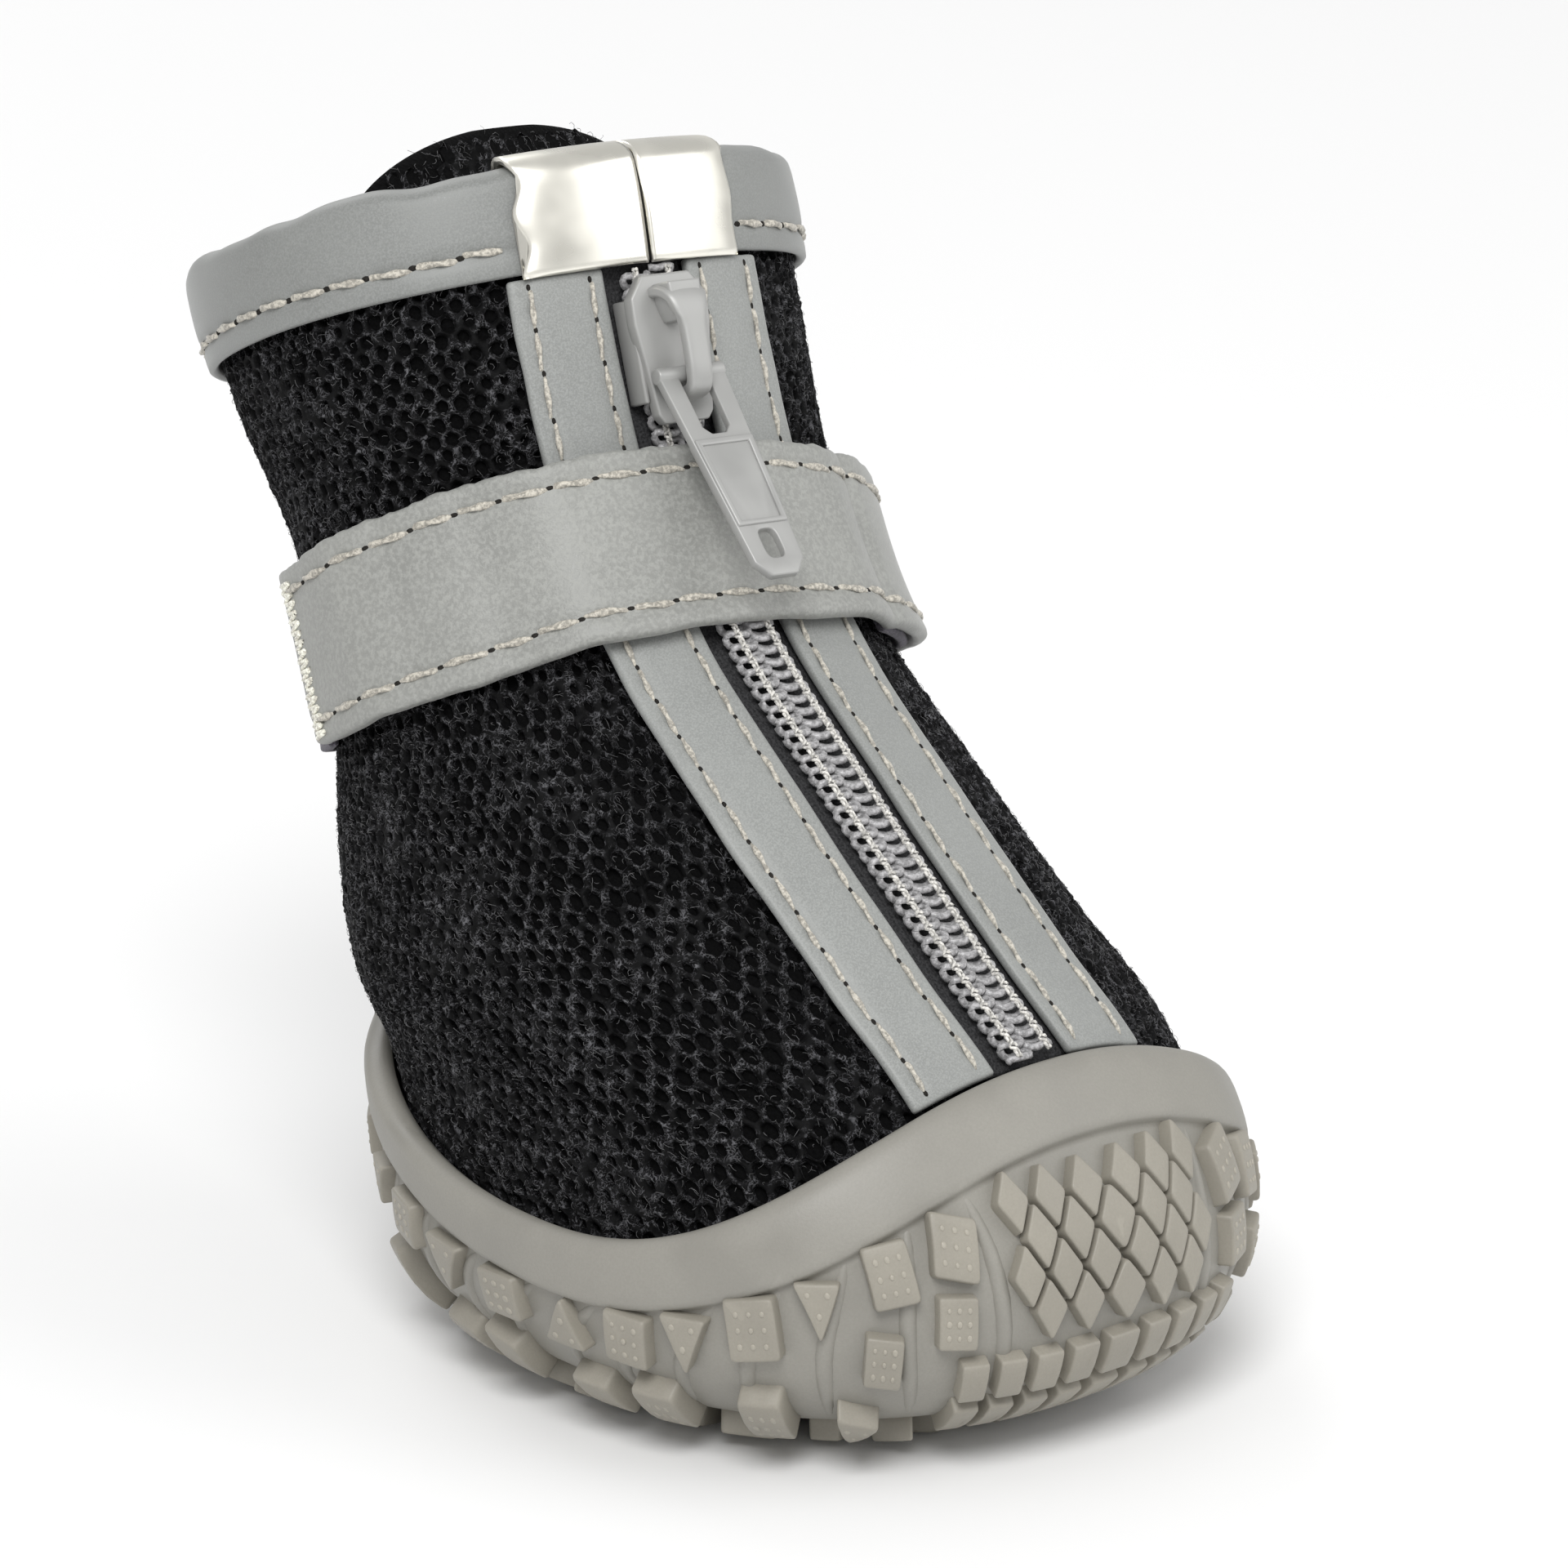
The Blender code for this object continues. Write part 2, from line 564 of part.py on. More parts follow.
def make_upper():
    """The hollow wall, with the slit for the zip cut out of its front."""
    phi = np.arange(AROUND) * PHI_STEP
    foot = upper_foot()
    names = ["wall_low", "wall_high", "rim", "instep_low", "instep", "ankle", "shaft", "shaft_high", "collar"]
    inner_ways = [foot, (foot + AT["wall_low"]) / 2] + [AT[name] for name in names]
    halfway = [(AT[a] + AT[b]) / 2 for a, b in zip(names[2:6], names[3:7])]
    ways = sorted(inner_ways + halfway)
    rows = [layer(t, phi, 0.0) for t in ways]
    rows += [layer(t, phi, -WALL) for t in reversed(inner_ways)]
    upper = loft("upper", np.array(rows), paint("spacer_mesh", (0.008, 0.008, 0.008), 0.85), wrap_rows=True)
    slit_ways = np.linspace(zip_foot(), AT["collar"] + 2 * SLIT_OVER, 14)
    slit = layer_block("slit", slit_ways, -SLOT_HALF, SLOT_HALF, -WALL - SLIT_OVER, SLIT_OVER, None, columns=5)
    apply_boolean(upper, slit, "DIFFERENCE")
    return upper


def make_tongue():
    """The flap behind the zip. Its top is round and leans back into the opening."""
    foot = zip_foot() + TONGUE_FOOT
    top = AT["collar"] + TONGUE_RISE
    round_start = top - TONGUE_ROUND
    lean_start = AT["ankle"] + 0.8 * (AT["shaft"] - AT["ankle"])
    ways = np.concatenate([np.linspace(foot, round_start, 9),
                           round_start + TONGUE_ROUND * np.sin(np.radians([25, 48, 68, 82]))])
    rows = []
    for t in ways:
        over = max(0.0, t - round_start) / TONGUE_ROUND
        half = TONGUE_HALF * math.sqrt(max(0.0, 1 - over * over))
        across = np.linspace(-half, half, 7)
        angle = phi_of(t, across)
        lean = TONGUE_LEAN * max(0.0, (t - lean_start) / (top - lean_start)) ** 1.3
        back = np.array([0.0, lean, 0.0])
        outer = layer(t, angle, -WALL - CLEAR) + back
        inner = layer(t, angle[::-1], -WALL - CLEAR - TONGUE_THICK) + back
        rows.append(np.concatenate([outer, inner]))
    return loft("tongue", np.array(rows), paint("tongue_mesh", (0.008, 0.008, 0.008), 0.85))


def make_zip():
    """Woven tape in the slit, and the coil on it."""
    ways = np.linspace(zip_foot() + CLEAR, zip_top(), 16)
    layer_block("zip_tape", ways, -SLOT_HALF + CLEAR, SLOT_HALF - CLEAR, -ZIP_TAPE_THICK, 0.0,
                paint("zip_weave", (0.05, 0.05, 0.05), 0.8))
    coil_ways = np.linspace(zip_foot() + 2 * CLEAR, clip_foot() - CLEAR, 16)
    layer_block("zip_coil", coil_ways, -COIL_HALF, COIL_HALF, CLEAR, CLEAR + COIL_THICK,
                paint("coil_thread", (0.42, 0.42, 0.42), 0.5), columns=5)


def binding_foot():
    """The lower edge of the collar's binding."""
    return AT["collar"] - BINDING_DROP


def clip_foot():
    """The lower edge of the end clips."""
    return binding_foot() - CLIP_OVER


def make_edge_tapes():
    """The strips beside the zip, from the toe's rim to the binding."""
    for name, side in (("edge_tape_left", -1), ("edge_tape_right", 1)):
        across = np.linspace(TAPE_INNER, TAPE_OUTER, 4) * side
        rows = []
        for share in np.linspace(0, 1, 16):
            start = rim_way(phi_of(AT["rim"], across)) + CLEAR
            end = binding_foot() - CLEAR
            ways = start + (end - start) * share
            angle = phi_of(ways, across)
            top = layer(ways, angle, CLEAR + TAPE_THICK)
            under = layer(ways[::-1], angle[::-1], CLEAR)
            rows.append(np.concatenate([top, under]))
        loft(name, np.array(rows), paint(name, (0.30, 0.33, 0.32), 0.5))


def fold_profile(foot, gap_out, gap_in, thick):
    """Loop of (t, depth) for a sheet folded over the collar's edge."""
    edge = AT["collar"]
    rise_out = gap_out
    outer = gap_out + thick
    inner = -WALL - gap_in - thick
    return [(foot, outer), (edge + rise_out, outer), (edge + rise_out + thick, outer - thick),
            (edge + rise_out + thick, inner + thick), (edge + rise_out, inner), (foot, inner),
            (foot, inner + thick), (edge + rise_out, inner + thick), (edge + rise_out, outer - thick),
            (foot, outer - thick)]


def make_binding():
    """The collar's band, folded over the edge, open at the zip."""
    profile = np.array(fold_profile(binding_foot(), CLEAR, CLEAR, BINDING_THICK))
    start = float(phi_of(AT["collar"], CLEAR))
    angles = np.linspace(start, 2 * math.pi - start, AROUND - 8)
    grid = np.array([layer(profile[:, 0], angle, profile[:, 1]) for angle in angles])
    return loft("collar_binding", grid, paint("binding_reflective", (0.30, 0.33, 0.32), 0.5))


def make_end_clips():
    """Folded plates over the binding, one on each side of the zip."""
    gap = 2 * CLEAR + BINDING_THICK
    profile = np.array(fold_profile(clip_foot(), gap, gap, CLIP_THICK))
    for name, side, wide in (("end_clip_left", -1, CLIP_LEFT_WIDE), ("end_clip_right", 1, CLIP_RIGHT_WIDE)):
        rows = []
        for across in np.linspace(CLEAR / 2, wide, 5) * side:
            angle = float(phi_of(AT["collar"], across))
            rows.append(layer(profile[:, 0], angle, profile[:, 1]))
        loft(name, np.array(rows), paint(name, (0.75, 0.74, 0.70), 0.25, 1.0))


def strap_way(phi):
    """The strap's middle line."""
    low = AT["ankle"] + 0.31 * (AT["shaft"] - AT["ankle"])
    return low + STRAP_RISE * np.maximum(0.0, np.cos(phi - STRAP_CREST))


def strap_depth(phi):
    """The strap's inner face: over the zip in front, over the loop band behind, else on the mesh."""
    plain = CLEAR
    over_zip = 2 * CLEAR + COIL_THICK
    over_loop = 2 * CLEAR + LOOP_THICK
    turned = (phi + math.pi) % (2 * math.pi) - math.pi
    front = np.clip((math.radians(50) - np.abs(turned)) / math.radians(22), 0, 1)
    front = front * front * (3 - 2 * front)
    behind = np.clip((phi - LOOP_START + math.radians(8)) / math.radians(8), 0, 1)
    start = np.clip((math.radians(-70) - phi) / math.radians(14), 0, 1)
    return np.maximum(np.maximum(plain + (over_zip - plain) * front, plain + (over_loop - plain) * behind),
                      plain + (over_loop - plain) * start)


def band(name, angles, wide_of, low_of, thick, material):
    """A band round the ankle with a rectangular section."""
    rows = []
    for phi in angles:
        middle = float(strap_way(phi))
        half = wide_of(phi) / 2
        low = float(low_of(phi))
        ways = np.array([middle - half, middle, middle + half, middle + half, middle, middle - half])
        depths = np.array([low + thick] * 3 + [low] * 3)
        rows.append(layer(ways, phi, depths))
    return loft(name, np.array(rows), material)


def make_strap():
    """The reflective strap, with a round free tip."""
    radius = WIDTH * 0.42
    tip = STRAP_WIDE / 2 / radius
    plain_end = STRAP_END - tip
    angles = np.concatenate([np.linspace(STRAP_START, plain_end, 44),
                             plain_end + tip * np.sin(np.radians([30, 55, 75]))])

    def wide_of(phi):
        over = max(0.0, (phi - plain_end) / tip)
        return STRAP_WIDE * max(0.2, math.sqrt(max(0.0, 1 - over * over)))
    band("strap", angles, wide_of, strap_depth, STRAP_THICK, paint("strap_reflective", (0.34, 0.35, 0.33), 0.55))
    band("loop_band", np.linspace(LOOP_START, LOOP_END, 28), lambda phi: LOOP_WIDE, lambda phi: CLEAR,
         LOOP_THICK, paint("loop_knit", (0.12, 0.11, 0.13), 0.9))


def zip_frame(t):
    """Axes on the zip: x across, y up along it, z outward, at a place on its centre line."""
    step = 0.1 * MM
    across = last_surface(t, 0.01) - last_surface(t, -0.01)
    along = last_surface(t + step, 0.0) - last_surface(t - step, 0.0)
    x = Vector(across).normalized()
    z = x.cross(Vector(along)).normalized()
    y = z.cross(x)
    frame = Matrix((x, y, z)).transposed().to_4x4()
    frame.translation = Vector(last_surface(t, 0.0))
    return frame


def add_box(body, low, high):
    """Adds a box to a bmesh and returns its vertices."""
    size = [high[i] - low[i] for i in range(3)]
    middle = [(high[i] + low[i]) / 2 for i in range(3)]
    matrix = Matrix.Translation(middle) @ Matrix.Diagonal((*size, 1.0))
    return bmesh.ops.create_cube(body, size=1.0, matrix=matrix)["verts"]


def solid_from(name, build, material=None, frame=None):
    """An object from a function that fills a bmesh, placed by a matrix."""
    mesh = bpy.data.meshes.new(name)
    body = bmesh.new()
    build(body)
    bmesh.ops.recalc_face_normals(body, faces=body.faces)
    body.to_mesh(mesh)
    body.free()
    if material is not None:
        mesh.materials.append(material)
    made = bpy.data.objects.new(name, mesh)
    bpy.context.scene.collection.objects.link(made)
    if frame is not None:
        made.matrix_world = frame
    return made


def slider_place():
    """The slider's middle, along the zip, and its axes."""
    top = AT["collar"] - BINDING_DROP - CLEAR
    return zip_frame(top - SLIDER_LONG / 2 - 1.2 * MM)


def plate_bottom():
    """Under face of the slider's plate, over the coil."""
    return 2 * CLEAR + COIL_THICK


def pin_height():
    """The pull's axis, over the slider's plate."""
    return plate_bottom() + PLATE_THICK + CLEAR + PIN_RADIUS


def make_slider(frame):
    """Plate with flanges beside the coil, and a bridge for the pull."""
    low = plate_bottom()
    top = low + PLATE_THICK
    beam = top + 2 * CLEAR + 2 * PIN_RADIUS

    def plate(body):
        verts = add_box(body, (-SLIDER_WIDE / 2, -SLIDER_LONG / 2, low), (SLIDER_WIDE / 2, SLIDER_LONG / 2, top))
        for vert in verts:
            if vert.co.y < 0:
                vert.co.x *= SLIDER_NOSE / SLIDER_WIDE

    def flange(side):
        inner = COIL_HALF + CLEAR

        def build(body):
            verts = add_box(body, (inner * side, -SLIDER_LONG * 0.35, CLEAR),
                            ((inner + FLANGE_THICK) * side, SLIDER_LONG * 0.35, low + PLATE_THICK / 2))
            for vert in verts:
                if vert.co.y < 0 and abs(vert.co.x) > inner + FLANGE_THICK / 2:
                    vert.co.x = (inner + FLANGE_THICK * 0.5) * side
        return build

    def bridge(body):
        half = BRIDGE_LONG / 2
        outer = [(-half, top - PLATE_THICK / 2), (-half, beam + 0.3 * MM), (-half + 1.0 * MM, beam + BRIDGE_THICK),
                 (half - 1.0 * MM, beam + BRIDGE_THICK), (half, beam + 0.3 * MM), (half, top - PLATE_THICK / 2)]
        inner = [(half - BRIDGE_POST, top - PLATE_THICK / 2), (half - BRIDGE_POST, beam),
                 (-half + BRIDGE_POST, beam), (-half + BRIDGE_POST, top - PLATE_THICK / 2)]
        ring = outer + inner
        left = [body.verts.new((-BRIDGE_WIDE / 2, y, z)) for y, z in ring]
        right = [body.verts.new((BRIDGE_WIDE / 2, y, z)) for y, z in ring]
        body.faces.new(left)
        body.faces.new(right)
        for j in range(len(ring)):
            k = (j + 1) % len(ring)
            body.faces.new((left[j], left[k], right[k], right[j]))

    slider = solid_from("zip_slider", plate, paint("slider_paint", (0.25, 0.25, 0.25), 0.4, 0.4), frame)
    for build in (flange(-1), flange(1), bridge):
        apply_boolean(slider, solid_from("piece", build, None, frame), "UNION")
    return slider


def make_pull(frame):
    """The pull tab: a round pin under the bridge, two arms, and a tapering tab with a hole."""
    axis = frame @ Matrix.Translation((0.0, PIN_PLACE, pin_height()))
    resting = axis @ Matrix.Rotation(-PULL_TILT, 4, "X")
    arm = (PULL_WIDE - BRIDGE_WIDE) / 2 - CLEAR
    inner = PULL_WIDE / 2 - arm

    def half_at(y):
        share = min(1.0, max(0.0, -y / PULL_LONG))
        return PULL_WIDE / 2 + (PULL_TIP / 2 - PULL_WIDE / 2) * share

    def tab(body):
        window = PULL_WINDOW_LONG
        tip = PULL_LONG - PULL_TIP * 0.3
        outline = [(-half_at(0), 0.0), (-half_at(-window), -window), (-half_at(-tip), -tip),
                   (-half_at(-PULL_LONG) * 0.55, -PULL_LONG), (half_at(-PULL_LONG) * 0.55, -PULL_LONG),
                   (half_at(-tip), -tip), (half_at(-window), -window), (half_at(0), 0.0),
                   (inner, 0.0), (inner * 0.8, -window), (-inner * 0.8, -window), (-inner, 0.0)]
        low = [body.verts.new((x, y, -PULL_THICK / 2)) for x, y in outline]
        high = [body.verts.new((x, y, PULL_THICK / 2)) for x, y in outline]
        body.faces.new(low)
        body.faces.new(high)
        for j in range(len(outline)):
            k = (j + 1) % len(outline)
            body.faces.new((low[j], low[k], high[k], high[j]))

    def pin(body):
        turn = Matrix.Rotation(math.pi / 2, 4, "Y")
        bmesh.ops.create_cone(body, cap_ends=True, segments=16, radius1=PIN_RADIUS, radius2=PIN_RADIUS,
                              depth=PULL_WIDE, matrix=turn)

    def hole(body):
        middle = -PULL_LONG + PULL_HOLE_FROM_TIP
        add_box(body, (-PULL_HOLE_WIDE / 2, middle - PULL_HOLE_LONG / 2, -PULL_THICK),
                (PULL_HOLE_WIDE / 2, middle + PULL_HOLE_LONG / 2, PULL_THICK))

    pull = solid_from("zip_pull", tab, paint("pull_paint", (0.27, 0.27, 0.27), 0.4, 0.4), resting)
    apply_boolean(pull, solid_from("pin", pin, None, resting), "UNION")
    apply_boolean(pull, solid_from("hole", hole, None, resting), "DIFFERENCE")
    return pull


def main():
    for item in list(bpy.data.objects):
        bpy.data.objects.remove(item)
    make_outsole()
    make_insole()
    make_upper()
    make_tongue()
    make_zip()
    make_edge_tapes()
    make_binding()
    make_end_clips()
    make_strap()
    frame = slider_place()
    make_slider(frame)
    make_pull(frame)


main()
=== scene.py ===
"""Looks of the dog boot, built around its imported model.

The toe points to -Y and the boot stands on z = 0. The last's table and functions repeat the shape that the
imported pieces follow, so each fabric, rubber and thread piece is a layer at some depth over or under the last.
A place on the last is (t, phi): t is the way along it in metres, and phi goes round it from the toe.
"""

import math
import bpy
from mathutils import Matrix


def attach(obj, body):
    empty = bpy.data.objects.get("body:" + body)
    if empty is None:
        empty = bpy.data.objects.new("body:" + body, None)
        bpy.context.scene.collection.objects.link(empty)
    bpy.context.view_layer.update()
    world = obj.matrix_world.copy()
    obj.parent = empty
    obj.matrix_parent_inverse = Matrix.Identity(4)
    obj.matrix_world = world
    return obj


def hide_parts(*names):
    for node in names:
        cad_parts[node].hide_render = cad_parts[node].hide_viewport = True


bl_info = {
    "name": "Dog Boot Looks",
    "version": (1, 0, 0),
    "blender": (4, 5, 0),
    "location": "View3D > Sidebar > Boot",
    "description": "Builds the rubber, mesh, tapes, strap, zip and studio of a dog boot",
    "category": "Object",
}

import bmesh
import bpy
import numpy as np
from bpy.props import FloatProperty, FloatVectorProperty, IntProperty, PointerProperty
from mathutils import Matrix, Vector

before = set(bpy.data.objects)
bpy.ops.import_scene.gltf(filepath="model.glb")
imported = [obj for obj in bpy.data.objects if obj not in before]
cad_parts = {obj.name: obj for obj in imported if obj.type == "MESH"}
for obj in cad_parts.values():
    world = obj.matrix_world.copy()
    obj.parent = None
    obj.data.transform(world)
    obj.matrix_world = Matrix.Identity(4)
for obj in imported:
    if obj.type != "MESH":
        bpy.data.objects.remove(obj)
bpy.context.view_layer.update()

MM = 0.001
SEED = 7
HALVINGS = 32

# Driving sizes of the last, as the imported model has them
LENGTH = 62.0 * MM
WIDTH = 50.0 * MM
HEIGHT = 81.0 * MM
WIDEST = 0.44
BACK_POWER = 2.1
CLEAR = 0.3 * MM
WALL = 2.2 * MM
SOLE_BASE = 1.7 * MM
RIM_BAND = 4.3 * MM
LUG_HEIGHT = 1.6 * MM
WALL_LUG_HEIGHT = 1.1 * MM
LAST_FLOOR = SOLE_BASE + LUG_HEIGHT
LUG_ROOT = 0.8 * MM
TAPE_THICK = 0.8 * MM
ZIP_TAPE_THICK = 0.9 * MM
COIL_THICK = 1.3 * MM
STRAP_THICK = 1.2 * MM
LOOP_THICK = 0.8 * MM
BINDING_THICK = 0.7 * MM
CLIP_THICK = 0.5 * MM
TONGUE_THICK = 1.6 * MM
RIM_SIDE = 15.3 * MM
RIM_TOE = 25.6 * MM
RIM_HEEL = 21.5 * MM
SLOT_HALF = 5.0 * MM
COIL_HALF = 2.2 * MM
TAPE_INNER = 3.4 * MM
TAPE_OUTER = 10.2 * MM
STRAP_WIDE = 13.2 * MM
LOOP_WIDE = 12.4 * MM
BINDING_DROP = 6.8 * MM
CLIP_OVER = 0.4 * MM
CLIP_LEFT_WIDE = 9.2 * MM
CLIP_RIGHT_WIDE = 8.0 * MM
TONGUE_HALF = 16.0 * MM
TONGUE_ROUND = 6.0 * MM
TONGUE_RISE = 1.4 * MM
TONGUE_LEAN = 10.0 * MM
TONGUE_FOOT = 4.0 * MM
STRAP_START = math.radians(-104)
STRAP_END = math.radians(217)
LOOP_START = math.radians(42)
LOOP_END = math.radians(250)
STRAP_CREST = math.radians(-25)
STRAP_RISE = 3.0 * MM

SECTION_COLUMNS = ("front_y", "front_z", "back_y", "back_z", "half", "side", "twist", "roll", "power")
SECTIONS = {
    "floor": (-0.161, 0.0, 0.194, 0.0, 0.18, 0.0, 0.0, 0.0, 2.0),
    "floor_edge": (-0.323, 0.0, 0.339, 0.0, 0.34, 0.0, 0.0, 0.0, 2.1),
    "bottom_edge": (-0.435, 0.026, 0.452, 0.020, 0.44, 0.0, 0.0, 0.0, 2.2),
    "wall_low": (-0.492, 0.079, 0.500, 0.073, 0.492, 0.0, 0.0, 0.0, 2.25),
    "wall_high": (-0.487, 0.157, 0.513, 0.132, 0.500, 0.0, 0.0, 0.0, 2.25),
    "rim": (-0.408, 0.260, 0.526, 0.189, 0.496, 0.0, 0.0, 0.0, 2.2),
    "instep_low": (-0.282, 0.363, 0.581, 0.254, 0.480, -0.016, -1.0, 0.5, 2.1),
    "instep": (-0.113, 0.485, 0.606, 0.351, 0.448, -0.018, -3.0, 1.5, 2.05),
    "ankle": (0.073, 0.601, 0.623, 0.428, 0.410, 0.004, -5.0, 2.5, 2.05),
    "shaft": (0.210, 0.755, 0.700, 0.582, 0.406, 0.028, -6.0, 3.0, 2.1),
    "shaft_high": (0.274, 0.884, 0.813, 0.691, 0.426, 0.042, -6.0, 3.0, 2.1),
    "collar": (0.327, 1.000, 0.910, 0.788, 0.430, 0.064, -6.0, 3.0, 2.1),
    "above": (0.371, 1.116, 1.000, 0.897, 0.430, 0.084, -6.0, 3.0, 2.1),
}


def unit(vectors, least=0.0):
    """Vectors of length one. least keeps a vanishing one from dividing by nothing."""
    return vectors / np.maximum(np.linalg.norm(vectors, axis=-1, keepdims=True), least)


def centred(phi):
    """An angle from the toe, brought between minus and plus half a turn."""
    return (phi + math.pi) % (2 * math.pi) - math.pi


def turned(u, v, turn):
    """A place turned about the middle, in degrees."""
    cosine = math.cos(math.radians(turn))
    sine = math.sin(math.radians(turn))
    return cosine * u - sine * v, sine * u + cosine * v


def colour_setting(name, description, default):
    """A colour of the panel."""
    return FloatVectorProperty(name=name, description=description, subtype="COLOR", size=3, default=default)


def section_values():
    """Section table in metres, one array for each column."""
    rise = HEIGHT - LAST_FLOOR
    scale = {"front_y": LENGTH, "back_y": LENGTH, "front_z": rise, "back_z": rise,
             "half": WIDTH, "side": WIDTH, "twist": 1.0, "roll": 1.0, "power": 1.0}
    rows = np.array(list(SECTIONS.values()), float)
    values = {name: rows[:, i] * scale[name] for i, name in enumerate(SECTION_COLUMNS)}
    values["front_z"] += LAST_FLOOR
    values["back_z"] += LAST_FLOOR
    return values


def section_places(values):
    """Way along the last of each section."""
    middle_y = (values["front_y"] + values["back_y"]) / 2
    middle_z = (values["front_z"] + values["back_z"]) / 2
    steps = np.hypot(np.diff(middle_y), np.diff(middle_z)) + 0.7 * np.abs(np.diff(values["half"]))
    return np.concatenate([[0.0], np.cumsum(steps)])


VALUES = section_values()
PLACES = section_places(VALUES)
SLOPES = {name: np.gradient(value, PLACES) for name, value in VALUES.items()}
AT = dict(zip(SECTIONS, PLACES))
TONGUE_TOP = AT["collar"] + TONGUE_RISE


def section_at(t):
    """Section values at t, by a smooth curve through the table."""
    i = np.clip(np.searchsorted(PLACES, t, side="right") - 1, 0, len(PLACES) - 2)
    span = PLACES[i + 1] - PLACES[i]
    s = (t - PLACES[i]) / span
    result = {}
    for name, value in VALUES.items():
        slope = SLOPES[name]
        result[name] = ((2*s**3 - 3*s**2 + 1) * value[i] + (s**3 - 2*s**2 + s) * slope[i] * span
                        + (-2*s**3 + 3*s**2) * value[i + 1] + (s**3 - s**2) * slope[i + 1] * span)
    return result


def last_surface(t, phi):
    """Points on the last, for arrays of t and phi."""
    t, phi = np.broadcast_arrays(np.asarray(t, float), np.asarray(phi, float))
    v = section_at(t)
    cosine = np.cos(phi)
    sine = np.sin(phi)
    power = np.where(cosine >= 0, v["power"], BACK_POWER)
    across = v["half"] * np.sign(sine) * np.abs(sine) ** (2 / power)
    ahead = np.sign(cosine) * np.abs(cosine) ** (2 / power)
    share = np.where(ahead >= 0, WIDEST * (1 - ahead), WIDEST - (1 - WIDEST) * ahead)
    y = v["front_y"] + (v["back_y"] - v["front_y"]) * share
    z = v["front_z"] + (v["back_z"] - v["front_z"]) * share
    middle = (v["front_y"] + v["back_y"]) / 2
    turn = np.radians(v["twist"])
    x_turned = across * np.cos(turn) - (y - middle) * np.sin(turn)
    y_turned = across * np.sin(turn) + (y - middle) * np.cos(turn) + middle
    z_rolled = z - x_turned * np.tan(np.radians(v["roll"]))
    return np.stack([x_turned + v["side"], y_turned, z_rolled], -1)


def outward(t, phi):
    """Unit normals of the last."""
    turn_step = 0.004
    way_step = 0.1 * MM
    t, phi = np.broadcast_arrays(np.asarray(t, float), np.asarray(phi, float))
    near = np.maximum(t, 2 * way_step)
    round_it = last_surface(t, phi + turn_step) - last_surface(t, phi - turn_step)
    along_it = last_surface(near + way_step, phi) - last_surface(near - way_step, phi)
    return unit(np.cross(round_it, along_it))


def layer(t, phi, depth):
    """Points at a depth outside the last (negative: inside it)."""
    t, phi, depth = np.broadcast_arrays(*(np.asarray(a, float) for a in (t, phi, depth)))
    return last_surface(t, phi) + outward(t, phi) * depth[..., None]


def phi_of(t, across):
    """The angle on the front half where the last is `across` from the centre line."""
    v = section_at(np.asarray(t, float))
    share = np.clip(np.abs(across) / v["half"], 0, 1)
    return np.sign(across) * np.arcsin(share ** (v["power"] / 2))


def way_at_height(phi, height):
    """The way along the last, above its floor, where it stands at a height."""
    phi, height = np.broadcast_arrays(np.asarray(phi, float), np.asarray(height, float))
    low = np.full(phi.shape, AT["floor_edge"])
    high = np.full(phi.shape, AT["ankle"])
    for _ in range(HALVINGS):
        middle = (low + high) / 2
        above = last_surface(middle, phi)[..., 2] > height
        high = np.where(above, middle, high)
        low = np.where(above, low, middle)
    return (low + high) / 2


def rim_way(phi):
    """The rubber's top edge: high at the toe, lower at the heel, lowest at the sides."""
    cosine = np.cos(phi)
    toe = (RIM_TOE - RIM_SIDE) * np.maximum(0, cosine) ** 2
    heel = (RIM_HEEL - RIM_SIDE) * np.maximum(0, -cosine) ** 2
    return way_at_height(phi, RIM_SIDE + toe + heel)


def floor_reach(t, x, y):
    """How far out (x, y) lies on the section at t (1 is on it), with its two shares."""
    v = section_at(t)
    share = (y - v["front_y"]) / (v["back_y"] - v["front_y"])
    ahead = (WIDEST - share) / np.where(share < WIDEST, WIDEST, 1 - WIDEST)
    power = np.where(ahead >= 0, v["power"], BACK_POWER)
    return np.abs(x / v["half"]) ** power + np.abs(ahead) ** power, ahead, power


def sole_point(x, y, depth):
    """Points of the tread's side of the rubber, under floor points (x, y)."""
    x, y, depth = np.broadcast_arrays(*(np.asarray(a, float) for a in (x, y, depth)))
    low = np.full(x.shape, AT["floor_edge"])
    high = np.full(x.shape, AT["wall_low"])
    inside = floor_reach(low, x, y)[0] <= 1
    for _ in range(HALVINGS):
        middle = (low + high) / 2
        beyond = floor_reach(middle, x, y)[0] > 1
        low = np.where(beyond, middle, low)
        high = np.where(beyond, high, middle)
    _, ahead, power = floor_reach(high, x, y)
    across = np.abs(x / section_at(high)["half"]) ** (power / 2)
    forward = np.abs(ahead) ** (power / 2)
    phi = np.arctan2(np.copysign(across, x), np.copysign(forward, ahead))
    flat = np.stack([x, y, LAST_FLOOR - depth], -1)
    return np.where(inside[..., None], flat, layer(high, phi, depth))


def wall_point(phi, height, sideways, upward, depth):
    """Points of the side wall, some way sideways and upward from a place at a height."""
    radius = np.linalg.norm(last_surface(AT["wall_low"], phi)[:2])
    angle = phi + np.asarray(sideways) / radius
    return layer(way_at_height(angle, height + np.asarray(upward)), angle, depth)


def upper_foot():
    """Where the upper ends under the foot and the insole begins."""
    return AT["floor_edge"] + 0.65 * (AT["bottom_edge"] - AT["floor_edge"])


def zip_foot():
    """The zip's lower end, at the rim of the toe bumper."""
    return float(rim_way(0.0))


def binding_foot():
    """The lower edge of the collar's binding."""
    return AT["collar"] - BINDING_DROP


